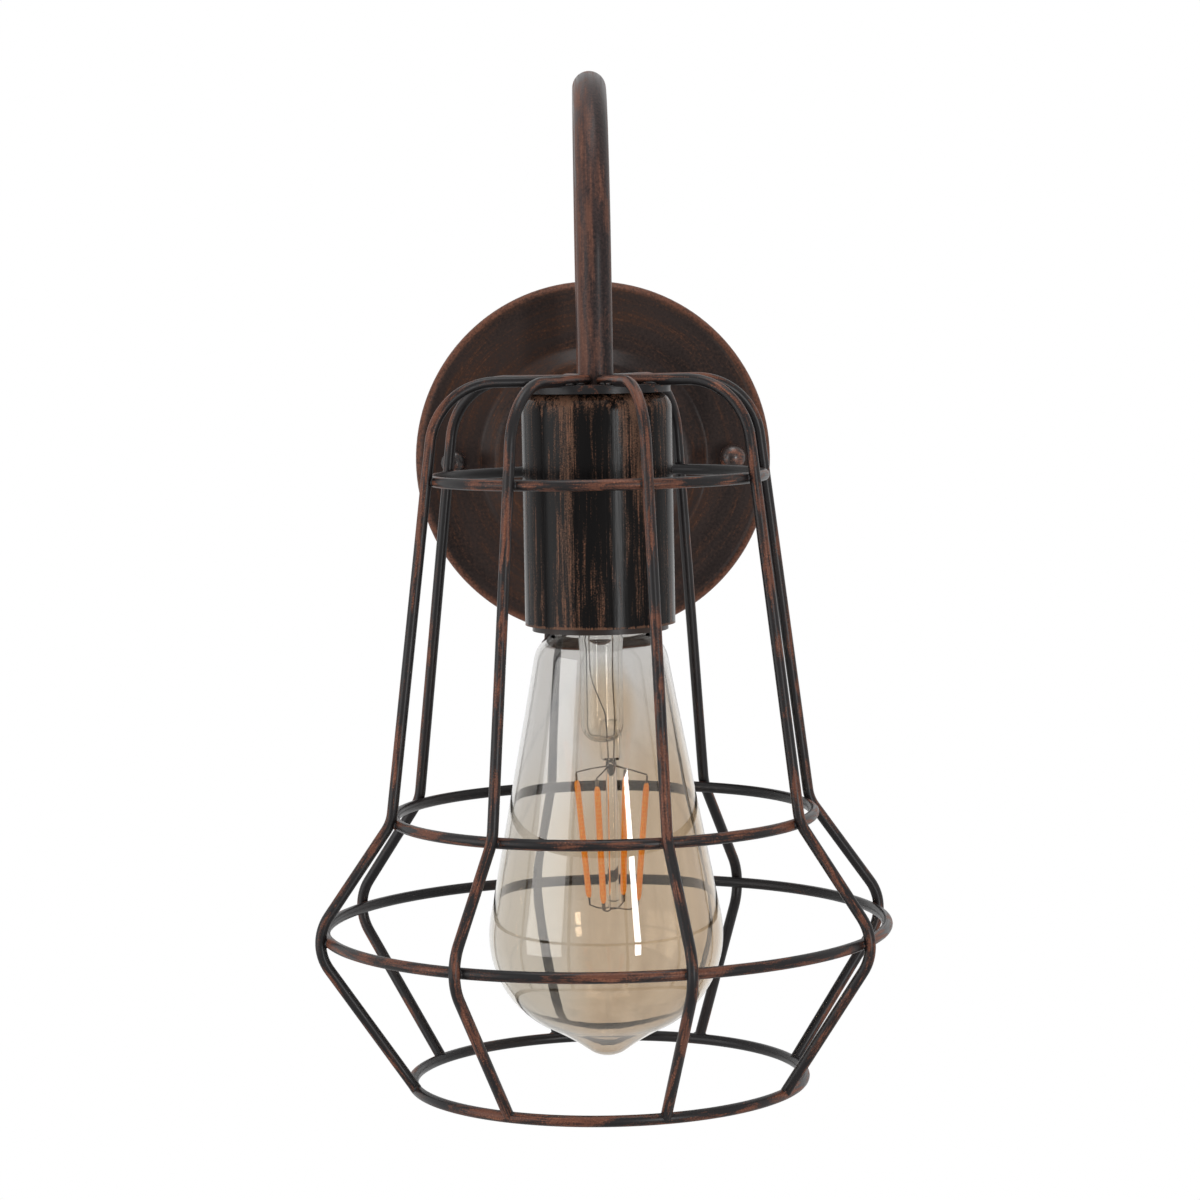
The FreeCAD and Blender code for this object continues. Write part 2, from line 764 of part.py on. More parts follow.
def make_arm():
    """The tube: out of the canopy, up, over in one round arch, and straight down to the cage."""
    body = new_body("arm_tube")
    path = new_sketch(body, "YZ_Plane", "arm_path")
    exit_y = -canopy_depth
    bend_y = exit_y - dim.exit_run
    rear_y = bend_y - dim.exit_bend_r
    bend_r = dim.exit_bend_r.value
    arch_r = dim.arch_r.value
    diagonal = math.sqrt(0.5)
    start = flat(exit_y, ZERO)
    bend_start = flat(bend_y, ZERO)
    bend_mid = bend_start + Vector(-diagonal, 1 - diagonal, 0) * bend_r
    leg_foot = flat(rear_y, dim.exit_bend_r)
    leg_top = flat(rear_y, arch_z)
    arch_top = leg_top + Vector(-1, 1, 0) * arch_r
    arch_end = leg_top + Vector(-2, 0, 0) * arch_r
    tube_end = flat(-arm_reach, plate_top_z)
    edges = [
        (Part.LineSegment(start, bend_start), start),
        (Part.Arc(bend_start, bend_mid, leg_foot), bend_start),
        (Part.LineSegment(leg_foot, leg_top), leg_foot),
        (Part.Arc(leg_top, arch_top, arch_end), leg_top),
        (Part.LineSegment(arch_end, tube_end), arch_end),
    ]
    chain = join_tangent(path, edges)
    run, bend, rear, arch, front = (piece[0] for piece in chain)
    hold(path, run, 1, exit_y, ZERO)
    constrain(path, "Horizontal", run)
    constrain(path, "Vertical", rear)
    constrain(path, "Vertical", front)
    constrain(path, "Distance", run, size=dim.exit_run)
    constrain(path, "Radius", bend, size=dim.exit_bend_r)
    constrain(path, "Distance", rear, size=dim.rear_leg)
    constrain(path, "Radius", arch, size=dim.arch_r)
    constrain(path, "Distance", front, size=dim.front_leg)
    ends = new_sketch(body, "XZ_Plane", "arm_section", offset=canopy_depth)
    draw_circle(ends, dim.arm_d)
    doc.recompute()
    sweep(body, path, ends, "arm_solid")
    bore = new_sketch(body, "XZ_Plane", "arm_bore_section", offset=canopy_depth)
    draw_circle(bore, arm_bore)
    doc.recompute()
    solid = body.Shape.Volume
    hollow = body.newObject("PartDesign::SubtractivePipe", "arm_bore")
    hollow.Profile = bore
    hollow.Spine = (path, [f"Edge{i + 1}" for i in range(path_edges(path))])
    doc.recompute()
    if not body.Shape.Volume < solid:
        raise RuntimeError("the arm's bore cuts nothing")
    node(body, "arm_tube")


def make_nipple(label, length):
    """A hollow threaded rod along +Z from z = 0."""
    half_d = dim.nipple_d / 2
    half_bore = dim.nipple_bore / 2
    outline = [(half_bore, ZERO), (half_d, ZERO), (half_d, length), (half_bore, length)]
    return node(turned(label, outline), label)


def make_arm_fixings():
    """Nipples in the tube's two ends, and the nut and washer that clamp it to the canopy."""
    nut_hole = dim.nipple_d + dim.thread_gap * 2
    inside_y = dim.canopy_wall - canopy_depth
    rear_len = dim.nipple_grip + dim.canopy_wall + dim.washer_t + dim.nut_h + dim.nipple_show
    rear = make_nipple("rear_nipple", rear_len)
    place(rear, y=-(canopy_depth + dim.nipple_grip), turn=TO_WALL)

    washer = primitive(
        "Cylinder", "tooth_washer_disc", Radius=dim.washer_d / 2, Height=dim.washer_t
    )
    hole = primitive(
        "Cylinder", "tooth_washer_hole", Radius=nut_hole / 2, Height=dim.washer_t + dim.cut_over * 2
    )
    place(hole, z=-dim.cut_over)
    tooth = cut("arm_tooth_washer", washer, hole)
    node(place(tooth, y=inside_y, turn=TO_WALL), "arm_tooth_washer")
    nut = hex_nut("arm_lock_nut", dim.nut_flats, dim.nut_h, nut_hole)
    node(place(nut, y=inside_y + dim.washer_t, turn=TO_WALL), "arm_lock_nut")

    front_len = plate_top_z + dim.nipple_grip - holder_top_z
    on_lamp_axis(make_nipple("front_nipple", front_len), z=holder_top_z)


# Cage


def draw_rib(path):
    """A rib's path in its own upright plane: in the plane of x outwards and y up.

    The rib runs out along the cage's top, turns down, passes outside three rings in turn and
    ends on top of the fourth. It touches a ring that it passes where its centre line is one
    welded wire thickness from the ring's.
    """
    apart = dim.wire_d - dim.weld_sink
    start_r = dim.arm_d / 2 + dim.rib_start_gap
    end_gap = dim.wire_d / 2 - dim.rib_end_sink
    lean = apart.value
    waist = Vector(ring_r[2].value + lean, ring_z[2].value, 0)
    neck = Vector(ring_r[1].value + lean, ring_z[1].value, 0)
    rise = (bar_z.value - waist.y) / (neck.y - waist.y)
    belly = Vector(ring_r[3].value + lean * 2, ring_z[3].value, 0)
    mouth = flat(ring_r[4], ring_z[4])
    corners = [
        flat(start_r, bar_z),
        waist + (neck - waist) * rise,
        waist,
        belly,
        mouth + (belly - mouth).normalize() * end_gap.value,
    ]
    bends = [dim.rib_top_bend_r, dim.rib_waist_bend_r, dim.rib_belly_bend_r]
    chain = join_tangent(path, rounded_edges(corners, [bend.value for bend in bends]))
    bar, top, side, waist_bend, flare, belly_bend, tuck = (piece[0] for piece in chain)
    hold(path, bar, 1, start_r, bar_z)
    constrain(path, "Horizontal", bar)
    for bend, radius in zip((top, waist_bend, belly_bend), bends):
        constrain(path, "Radius", bend, size=radius)

    # The long straight stretch passes ring 1
    centre = flat(ring_r[1], ring_z[1])
    circle = path.addGeometry(Part.Circle(centre, Vector(0, 0, 1), apart.value), True)
    constrain(path, "Radius", circle, size=apart)
    hold(path, circle, 3, ring_r[1], ring_z[1])
    constrain(path, "Tangent", side, circle)

    # The last stretch points at the middle of ring 4's wire and stops in its top
    ahead = path.addGeometry(Part.LineSegment(corners[-1], mouth), True)
    constrain(path, "Tangent", tuck, 2, ahead, 1)
    hold(path, ahead, 2, ring_r[4], ring_z[4])
    constrain(path, "Distance", ahead, size=end_gap)

    # The bends at rings 2 and 3 have the ring on their bisector
    reaches = {2: dim.rib_waist_bend_r + apart, 3: dim.rib_belly_bend_r - apart}
    for bend, k in ((waist_bend, 2), (belly_bend, 3)):
        ring_point = flat(ring_r[k], ring_z[k])
        bend_centre = path.getPoint(bend, 3)
        spoke = path.addGeometry(Part.LineSegment(ring_point, bend_centre), True)
        hold(path, spoke, 1, ring_r[k], ring_z[k])
        constrain(path, "Coincident", spoke, 2, bend, 3)
        constrain(path, "Distance", spoke, size=reaches[k])
        constrain(path, "Symmetric", bend, 1, bend, 2, spoke)


def make_ribs():
    """Equal ribs round the lamp's axis, the first turned a little off the front."""
    ribs = []
    count = COUNTS["rib_count"]
    for i in range(count):
        body = new_body(f"cage_rib_{i + 1}")
        path = new_sketch(body, "XZ_Plane", f"rib_{i + 1}_path")
        draw_rib(path)
        start_r = dim.arm_d / 2 + dim.rib_start_gap
        section = new_sketch(body, "YZ_Plane", f"rib_{i + 1}_section", offset=start_r)
        draw_circle(section, dim.wire_d, y=bar_z)
        doc.recompute()
        sweep(body, path, section, f"rib_{i + 1}_wire")
        azimuth = dim.cage_turn + i * 360 / count
        on_lamp_axis(body, turn=Rotation(Vector(0, 0, 1), azimuth.value - 90))
        bind(body, "Placement.Rotation.Angle", azimuth - 90)
        ribs.append(node(body, f"cage_rib_{i + 1}"))
    return group("cage_ribs", *ribs)


def make_rings(ribs):
    """Three hoops inside the ribs and the one their ends stand on, with a weld seat at each rib."""
    names = {1: "cage_neck_ring", 2: "cage_waist_ring", 3: "cage_belly_ring", 4: "cage_mouth_ring"}
    for k, label in names.items():
        hoop = primitive("Torus", f"hoop_{k}", Radius1=ring_r[k], Radius2=dim.wire_d / 2)
        on_lamp_axis(hoop, z=ring_z[k])
        node(cut(label, hoop, ribs), label)


def make_plate(ribs):
    """The round plate that the ribs are welded to, with the nipple's hole in the middle."""
    disc = primitive("Cylinder", "plate_disc", Radius=dim.plate_d / 2, Height=dim.plate_t)
    on_lamp_axis(disc, z=cup_top_z)
    hole_h = dim.plate_t + dim.cut_over * 2
    hole_r = dim.nipple_d / 2 + dim.bolt_gap
    hole = primitive("Cylinder", "plate_hole", Radius=hole_r, Height=hole_h)
    on_lamp_axis(hole, z=cup_top_z - dim.cut_over)
    node(cut("cage_plate", disc, fuse("plate_cuts", hole, ribs)), "cage_plate")


# Cup and lampholder


def make_cup():
    """Drawn cup, open below, with a rounded shoulder and the nipple's hole in its top."""
    body = new_body("socket_cup")
    outer_r = dim.cup_d / 2
    inner_r = outer_r - dim.cup_wall
    foot_z = cup_top_z - dim.cup_h
    hole_r = dim.nipple_d / 2 + dim.bolt_gap
    outline = [(hole_r, cup_top_z), (outer_r, cup_top_z), (outer_r, foot_z), (inner_r, foot_z)]
    outline += [(inner_r, cup_floor_z), (hole_r, cup_floor_z)]
    turn_outline(body, outline)
    fillet(body, dim.cup_round, circle_at(outer_r, cup_top_z, "z"))
    fillet(body, dim.cup_round - dim.cup_wall, circle_at(inner_r, cup_floor_z, "z"))
    on_lamp_axis(body)
    node(body, "socket_cup")


def make_cup_fixings():
    """Nut that clamps cage plate and cup to the arm, and the hub that carries the lampholder."""
    nut = hex_nut("cup_nut", dim.nut_flats, dim.cup_nut_h, dim.nipple_d + dim.thread_gap * 2)
    node(on_lamp_axis(nut, z=hub_top_z), "cup_lock_nut")

    body = new_body("holder_hub")
    strap = new_sketch(body, "XY_Plane", "hub_strap")
    half_w = dim.hub_plate_w / 2
    half_len = dim.hub_plate_len / 2
    draw_box(strap, -half_w, half_w, -half_len, half_len)
    pad(body, strap, dim.hub_plate_t)
    collar = new_sketch(body, "XY_Plane", "hub_collar")
    draw_circle(collar, dim.hub_d)
    pad(body, collar, dim.hub_plate_t + dim.hub_h)
    holes = new_sketch(body, "XY_Plane", "hub_holes")
    draw_circle(holes, dim.nipple_d + dim.thread_gap * 2)
    for side in (-dim.hub_screw_spacing / 2, dim.hub_screw_spacing / 2):
        draw_circle(holes, dim.hub_screw_d + dim.bolt_gap * 2, y=side)
    pocket(body, holes)
    on_lamp_axis(body, z=holder_top_z)
    node(body, "holder_hub")

    shank_len = dim.hub_screw_len
    screw = make_screw(
        "hub_screw", dim.hub_screw_d, shank_len, dim.hub_screw_head_d, dim.hub_screw_head_h
    )
    strap_top_z = holder_top_z + dim.hub_plate_t
    down = Rotation(Vector(1, 0, 0), 180)
    place(screw, y=dim.hub_screw_spacing / 2 - arm_reach, z=strap_top_z, turn=down)
    node(pair("hub_screws", screw, ACROSS_Y, y=-arm_reach), "hub_screws")


def make_holder():
    """Ceramic body: a wiring channel in its top and the bulb's cavity below."""
    body = new_body("lampholder_body")
    outer_r = dim.holder_d / 2
    lip_r = dim.holder_lip_d / 2
    mouth_r = dim.holder_mouth_d / 2
    bore_r = shell_r + dim.shell_gap
    lip_z = holder_foot_z + dim.holder_lip_h
    outline = [(ZERO, holder_top_z), (outer_r, holder_top_z), (outer_r, lip_z), (lip_r, lip_z)]
    outline += [(lip_r, holder_foot_z), (mouth_r, holder_foot_z), (mouth_r, shell_foot_z)]
    outline += [(bore_r, shell_foot_z), (bore_r, ceiling_z), (ZERO, ceiling_z)]
    turn_outline(body, outline)
    channel = new_sketch(body, "XY_Plane", "wiring_channel", offset=holder_top_z)
    half_len = dim.channel_len / 2
    half_w = dim.channel_w / 2
    draw_box(channel, -half_len, half_len, -half_w, half_w)
    pocket(body, channel, dim.channel_depth)
    screws = new_sketch(body, "XY_Plane", "hub_screw_holes", offset=holder_top_z)
    for side in (-dim.hub_screw_spacing / 2, dim.hub_screw_spacing / 2):
        draw_circle(screws, dim.hub_screw_d + dim.thread_gap * 2, y=side)
    pocket(body, screws, dim.hub_screw_len)
    slots = new_sketch(body, "XY_Plane", "contact_slots", offset=channel_z)
    gap = dim.thread_gap
    tab_half = dim.tab_w / 2 + gap
    tongue_half = dim.tongue_w / 2 + gap
    tongue_high = dim.tongue_t - dim.tongue_x + gap
    draw_box(slots, shell_bore_r - gap, shell_r + dim.shell_gap, -tab_half, tab_half)
    draw_box(slots, -dim.tongue_x - gap, tongue_high, -tongue_half, tongue_half)
    pocket(body, slots, channel_z - ceiling_z + dim.cut_over)
    on_lamp_axis(body)
    node(body, "lampholder_body")


def make_shell():
    """Brass screw shell with the tab that reaches up to its terminal."""
    body = new_body("screw_shell")
    outline = [(shell_bore_r, shell_foot_z), (shell_r, shell_foot_z)]
    outline += [(shell_r, shell_top_z), (shell_bore_r, shell_top_z)]
    turn_outline(body, outline)
    tab = new_sketch(body, "XZ_Plane", "shell_tab")
    foot_z = shell_top_z - dim.tab_w / 2
    draw_box(tab, shell_bore_r, shell_r, foot_z, channel_z + dim.terminal_h)
    pad(body, tab, dim.tab_w, midplane=True)
    on_lamp_axis(body)
    node(body, "screw_shell")


def make_tongue():
    """Sprung strip from the live terminal down to the middle of the bulb's end."""
    body = new_body("centre_contact")
    thick = dim.tongue_t
    knee_z = tongue_z + dim.tongue_slope
    toe_x = dim.tongue_flat + dim.tongue_toe
    toe_z = tongue_z + dim.tongue_toe
    side = [(-dim.tongue_x, channel_z), (-dim.tongue_x, knee_z), (-dim.tongue_flat, tongue_z)]
    side += [(dim.tongue_flat, tongue_z), (toe_x, toe_z)]
    back = [(toe_x - thick, toe_z + thick), (dim.tongue_flat, tongue_z + thick)]
    back += [(-dim.tongue_flat, tongue_z + thick), (thick - dim.tongue_x, knee_z + thick)]
    back += [(thick - dim.tongue_x, channel_z)]
    sketch = new_sketch(body, "XZ_Plane", "tongue_side")
    draw_outline(sketch, side + back)
    pad(body, sketch, dim.tongue_w, midplane=True)
    on_lamp_axis(body)
    node(body, "centre_contact")


def make_terminals():
    """Brass terminal blocks in the channel's two ends, and their clamp screws."""
    out_x = shell_bore_r
    block = primitive(
        "Box",
        "terminal_box",
        Length=dim.terminal_w,
        Width=dim.terminal_depth,
        Height=dim.terminal_h,
    )
    depth_y = -arm_reach - dim.terminal_depth / 2
    place(block, x=out_x - dim.terminal_w, y=depth_y, z=channel_z)
    middle_x = out_x - dim.terminal_w / 2
    lead_z = channel_z + dim.terminal_h / 2
    bore = primitive(
        "Cylinder",
        "terminal_bore",
        Radius=dim.lead_d / 2 + dim.thread_gap,
        Height=dim.terminal_w + dim.cut_over - dim.block_wall,
    )
    inward = Rotation(Vector(0, 1, 0), 90)
    place(bore, x=middle_x - dim.terminal_w / 2 - dim.cut_over, y=-arm_reach, z=lead_z, turn=inward)
    tap = primitive(
        "Cylinder",
        "terminal_tap",
        Radius=dim.terminal_screw_d / 2 + dim.thread_gap,
        Height=dim.terminal_h / 2 + dim.cut_over,
    )
    place(tap, x=middle_x, y=-arm_reach, z=lead_z)
    terminal = cut("terminal", block, fuse("terminal_cuts", bore, tap))
    node(pair("holder_terminals", terminal, ACROSS_X), "holder_terminals")
    screw = make_screw(
        "terminal_screw",
        dim.terminal_screw_d,
        dim.terminal_h / 2 - dim.lead_d / 2,
        dim.terminal_head_d,
        dim.terminal_head_h,
    )
    down = Rotation(Vector(1, 0, 0), 180)
    place(screw, x=middle_x, y=-arm_reach, z=channel_z + dim.terminal_h, turn=down)
    node(pair("terminal_screws", screw, ACROSS_X), "terminal_screws")


# Wires inside the arm


def make_lead(label, points, radii):
    """A round insulated wire along straight runs joined by tangent arcs."""
    edges = rounded_edges(points, radii)
    wire = Part.Wire([edge.toShape() for edge, _ in edges])
    start, after = points[0], points[1]
    radius = dim.lead_d.value / 2
    circle = Part.Wire(Part.makeCircle(radius, start, after - start))
    shape = wire.makePipeShell([circle], True, False)
    expected = math.pi * radius**2 * wire.Length
    print(f"{label}: {wire.Length:.1f} mm long, volume over section x length "
          f"{shape.Volume / expected:.4f}, bends {[round(r, 2) for r in radii]} mm")
    thing = doc.addObject("Part::Feature", label)
    thing.Shape = shape
    return node(thing, label)


def make_leads():
    """Live and neutral from the terminal block, through the arm, to the lampholder; and earth."""
    rear_y = -(canopy_depth + dim.exit_run + dim.exit_bend_r)
    corner_r = dim.lead_bend_r.value
    turn_r = dim.lead_turn_r.value
    terminal_x = shell_bore_r - dim.block_wall - dim.thread_gap
    lead_z = channel_z + dim.terminal_h / 2
    tail = dim.lead_tail
    block_z = block_foot_z + tail
    arch_top = arch_z + dim.arch_r
    middle_y = rear_y - dim.arch_r
    for label, side, pole in (("live_wire", -1, -1), ("neutral_wire", 1, 0)):
        x = dim.lead_pitch / 2 * side
        pole_x = dim.block_pitch * pole
        run = [
            (pole_x, lead_y, block_z),
            (pole_x, lead_y, block_foot_z - dim.block_edge),
            (x, lead_y, ZERO),
            (x, rear_y, ZERO),
            (x, rear_y, arch_top),
            (x, -arm_reach, arch_top),
            (x, -arm_reach, lead_z),
            (terminal_x * side, -arm_reach, lead_z),
        ]
        bends = [turn_r, turn_r, dim.exit_bend_r.value, dim.arch_r.value, dim.arch_r.value, corner_r]
        points = [Vector(px.value, py.value, pz.value) for px, py, pz in run]
        make_lead(label, points, bends)
    earth_y = -(dim.bracket_t + dim.earth_cup_t + dim.lead_d / 2)
    beside_x = dim.earth_x - dim.earth_screw_d / 2 - dim.lead_d / 2
    beside_z = earth_z + dim.earth_cup_d / 2 + dim.block_edge
    run = [
        (dim.block_pitch, lead_y, block_z),
        (dim.block_pitch, lead_y, block_foot_z - dim.block_edge),
        (beside_x, earth_y, beside_z),
        (beside_x, earth_y, earth_z - dim.earth_tail),
    ]
    points = [Vector(px.value, py.value, pz.value) for px, py, pz in run]
    make_lead("earth_wire", points, [corner_r, corner_r])


# Bulb


def arc_about(centre, radius, start, end):
    """An arc about a centre, from one unit direction round to another, with its start."""
    middle = (start + end).normalize()
    begin = centre + start * radius
    return Part.Arc(begin, centre + middle * radius, centre + end * radius), begin


def glass_outline(body, name, inset, top_z):
    """Half the envelope's outline, on its surface or a set distance inside it.

    Down from the collar: a ledge under the cap and a short neck, then a round shoulder, the
    straight flank, the belly, a shallow dip and the rounded tip, each of these tangent to the
    next. The dip's centre is outside the glass.
    """
    sketch = new_sketch(body, "XZ_Plane", name)
    tip_z = cap_foot_z - dim.glass_len
    collar_r = dim.glass_collar_d / 2 - inset
    ledge_z = cap_foot_z - inset
    radii = [dim.glass_shoulder_r - inset, dim.glass_belly_r - inset]
    radii += [dim.glass_dip_r + inset, dim.glass_tip_r - inset]
    shoulder_r, belly_r, dip_r, tip_r = (radius.value for radius in radii)
    shoulder_at = (dim.glass_shoulder_d / 2, cap_foot_z - dim.glass_shoulder_drop)
    neck_r = dim.glass_neck_d / 2 - inset
    belly_at = (dim.glass_d / 2 - dim.glass_belly_r, tip_z + dim.glass_belly_h)
    tip_at = (ZERO, tip_z + dim.glass_tip_r)
    shoulder, belly, tip = flat(*shoulder_at), flat(*belly_at), flat(*tip_at)

    up = shoulder - belly
    lean = (belly_r - shoulder_r) / up.Length
    ahead = Vector(up).normalize()
    right = Vector(ahead.y, -ahead.x, 0)
    flank = right * math.sqrt(1 - lean**2) + ahead * lean
    way = belly - tip
    along = ((tip_r + dip_r) ** 2 - (belly_r + dip_r) ** 2 + way.Length**2) / (2 * way.Length)
    ahead = Vector(way).normalize()
    right = Vector(ahead.y, -ahead.x, 0)
    dip = tip + ahead * along + right * math.sqrt((tip_r + dip_r) ** 2 - along**2)
    to_belly = (belly - dip).normalize()
    to_tip = (tip - dip).normalize()

    collar_foot = flat(collar_r, ledge_z)
    ledge_end = flat(neck_r, ledge_z)
    side = (neck_r - shoulder_at[0]).value / shoulder_r
    neck_foot = Vector(side, math.sqrt(1 - side**2), 0)
    flank_top = shoulder + flank * shoulder_r
    edges = [
        arc_about(shoulder, shoulder_r, neck_foot, flank),
        (Part.LineSegment(flank_top, belly + flank * belly_r), flank_top),
        arc_about(belly, belly_r, flank, -to_belly),
        arc_about(dip, dip_r, to_belly, to_tip),
        arc_about(tip, tip_r, -to_tip, Vector(0, -1, 0)),
    ]
    chain = join_tangent(sketch, edges)
    shoulder_arc, _, belly_arc, dip_arc, tip_arc = (piece[0] for piece in chain)
    for arc, radius in zip((shoulder_arc, belly_arc, dip_arc, tip_arc), radii):
        constrain(sketch, "Radius", arc, size=radius)
    for arc, centre in ((shoulder_arc, shoulder_at), (belly_arc, belly_at), (tip_arc, tip_at)):
        hold(sketch, arc, 3, *centre)
    ledge = sketch.addGeometry(Part.LineSegment(collar_foot, ledge_end))
    neck = sketch.addGeometry(Part.LineSegment(ledge_end, shoulder + neck_foot * shoulder_r))
    constrain(sketch, "Horizontal", ledge)
    constrain(sketch, "Vertical", neck)
    constrain(sketch, "Coincident", ledge, 2, neck, 1)
    constrain(sketch, "Coincident", neck, 2, shoulder_arc, chain[0][1])
    hold(sketch, ledge, 2, neck_r, ledge_z)

    tip_end = tip + Vector(0, -tip_r, 0)
    top = flat(ZERO, top_z)
    collar_top = flat(collar_r, top_z)
    axis_line = sketch.addGeometry(Part.LineSegment(tip_end, top))
    top_line = sketch.addGeometry(Part.LineSegment(top, collar_top))
    collar_line = sketch.addGeometry(Part.LineSegment(collar_top, collar_foot))
    constrain(sketch, "Coincident", tip_arc, chain[-1][2], axis_line, 1)
    constrain(sketch, "Coincident", axis_line, 2, top_line, 1)
    constrain(sketch, "Coincident", top_line, 2, collar_line, 1)
    constrain(sketch, "Coincident", collar_line, 2, ledge, 1)
    constrain(sketch, "PointOnObject", axis_line, 1, -2)
    hold(sketch, axis_line, 2, ZERO, top_z)
    constrain(sketch, "Horizontal", top_line)
    constrain(sketch, "DistanceX", -1, 1, collar_line, 2, size=collar_r)
    constrain(sketch, "Vertical", collar_line)
    return sketch


def make_glass():
    """Blown glass envelope: a straight collar in the cap, a neck, then the long outline with its tip."""
    body = new_body("bulb_glass")
    top_z = cap_foot_z + dim.glass_in_cap
    outside = glass_outline(body, "glass_outside", ZERO, top_z)
    blown = body.newObject("PartDesign::Revolution", "glass_blown")
    blown.Profile = outside
    blown.ReferenceAxis = (outside, ["V_Axis"])
    blown.Angle = 360
    doc.recompute()
    solid = body.Shape.Volume
    inside = glass_outline(body, "glass_inside", dim.glass_wall, top_z + dim.cut_over)
    hollow = body.newObject("PartDesign::Groove", "glass_hollow")
    hollow.Profile = inside
    hollow.ReferenceAxis = (inside, ["V_Axis"])
    hollow.Angle = 360
    doc.recompute()
    if not body.Shape.Volume < solid:
        raise RuntimeError("the glass's hollow cuts nothing")
    on_lamp_axis(body)
    node(body, "bulb_glass")


def make_cap():
    """Screw cap, its black glass insulator and the soldered tip contact."""
    wall = dim.cap_wall
    cap_r = dim.cap_d / 2
    skirt_r = dim.cap_skirt_d / 2
    top_r = dim.cap_top_d / 2
    skirt_z = cap_foot_z + dim.cap_skirt_len
    shoulder_z = cap_top_z - (cap_r - top_r)
    outline = [(top_r, cap_top_z), (cap_r, shoulder_z), (cap_r, skirt_z), (skirt_r, skirt_z)]
    outline += [(skirt_r, cap_foot_z), (skirt_r - wall, cap_foot_z), (skirt_r - wall, skirt_z - wall)]
    outline += [(cap_r - wall, skirt_z - wall), (cap_r - wall, shoulder_z - wall / 2)]
    outline += [(top_r - wall, cap_top_z - wall)]
    node(on_lamp_axis(turned("bulb_cap", outline)), "bulb_cap")

    plug_z = cap_top_z - dim.insulator_h
    plug_r = top_r - wall - dim.thread_gap
    tip_z = cap_top_z + dim.insulator_h
    outline = [(ZERO, tip_z), (dim.insulator_top_d / 2, tip_z), (top_r, cap_top_z)]
    outline += [(plug_r, cap_top_z), (plug_r, plug_z), (ZERO, plug_z)]
    node(on_lamp_axis(turned("bulb_insulator", outline)), "bulb_insulator")

    tip_r = dim.tip_contact_d / 2
    outline = [(ZERO, bulb_top_z), (tip_r / 2, bulb_top_z), (tip_r, bulb_top_z - dim.tip_contact_h / 2)]
    outline += [(tip_r, tip_z), (ZERO, tip_z)]
    node(on_lamp_axis(turned("bulb_tip_contact", outline)), "bulb_tip_contact")


def make_stem():
    """Glass that holds the filaments: a round-footed tube flared into the collar, press and rod.

    The press and the rod stand a little to one side of the tube.
    """
    stem_top_z = cap_foot_z + dim.glass_in_cap
    tube_foot_z = cap_foot_z - dim.stem_len
    press_foot_z = tube_foot_z - dim.stem_press_proud
    rod_foot_z = press_foot_z - dim.rod_len
    wall = dim.glass_wall
    tube_r = dim.stem_d / 2
    flare_r = dim.glass_collar_d / 2 - wall
    outline = [(ZERO, tube_foot_z), (tube_r, tube_foot_z), (tube_r, stem_top_z - wall)]
    outline += [(flare_r, stem_top_z - wall), (flare_r, stem_top_z), (tube_r - wall, stem_top_z)]
    outline += [(tube_r - wall, tube_foot_z + wall), (ZERO, tube_foot_z + wall)]
    tube = turned("stem_tube", outline)
    fillet(tube, dim.stem_round, circle_at(tube_r, tube_foot_z, "z"))
    fillet(tube, dim.stem_round - wall, circle_at(tube_r - wall, tube_foot_z + wall, "z"))
    on_lamp_axis(tube)
    press = primitive(
        "Box",
        "stem_press",
        Length=dim.stem_press_w,
        Width=dim.stem_press_t,
        Height=dim.stem_press_len,
    )
    place(
        press,
        x=dim.mount_off - dim.stem_press_w / 2,
        y=-arm_reach - dim.stem_press_t / 2,
        z=press_foot_z,
    )
    rod = primitive("Cylinder", "stem_rod", Radius=dim.rod_d / 2, Height=dim.rod_len)
    place(rod, x=dim.mount_off, y=-arm_reach, z=rod_foot_z)
    node(fuse("bulb_stem", tube, press, rod), "bulb_stem")
    return press_foot_z, rod_foot_z


def leaning_rods(name, diameter, low, high, count):
    """Equal round rods about the bulb's glass rod, each from a low (radius, height) to a high one."""
    (low_r, low_z), (high_r, high_z) = low, high
    out = high_r - low_r
    rise = high_z - low_z
    length = root(out * out + rise * rise)
    tilt = Rotation(Vector(0, 1, 0), math.degrees(math.atan2(out.value, rise.value)))
    rods = []
    for i in range(count):
        turn = Rotation(Vector(0, 0, 1), ANGLES["filament_turn"] + i * 360 / count)
        rod = primitive("Cylinder", f"{name}_{i}", Radius=diameter / 2, Height=length)
        foot = turn.multVec(Vector(low_r.value, 0, low_z.value))
        foot.x += dim.mount_off.value
        foot.y -= arm_reach.value
        rod.Placement = Placement(foot, turn.multiply(tilt))
        rods.append(rod)
    return rods


def make_filaments(press_foot_z):
    """Slim strips leaning in towards their feet, and the thin wires that carry them."""
    top_z = press_foot_z - dim.filament_drop
    foot_z = top_z - dim.filament_len
    foot = (dim.filament_foot_r, foot_z)
    top = (dim.filament_top_r, top_z)
    count = COUNTS["filament_count"]
    strips = leaning_rods("filament", dim.filament_d, foot, top, count)
    clear = dim.support_d / 2 + dim.thread_gap * 3
    rod_r = dim.rod_d / 2
    upper_start = (rod_r + dim.thread_gap, top_z + dim.support_rise)
    upper_end = (dim.filament_top_r, top_z + clear)
    uppers = leaning_rods("upper_spoke", dim.support_d, upper_start, upper_end, count)
    lower_start = (rod_r + dim.thread_gap, foot_z - clear)
    lower_end = (dim.filament_foot_r, foot_z - clear)
    lowers = leaning_rods("lower_spoke", dim.support_d, lower_start, lower_end, count)
    node(group("bulb_filaments", *strips), "bulb_filaments")
    node(group("bulb_support_wires", *uppers, *lowers), "bulb_support_wires")


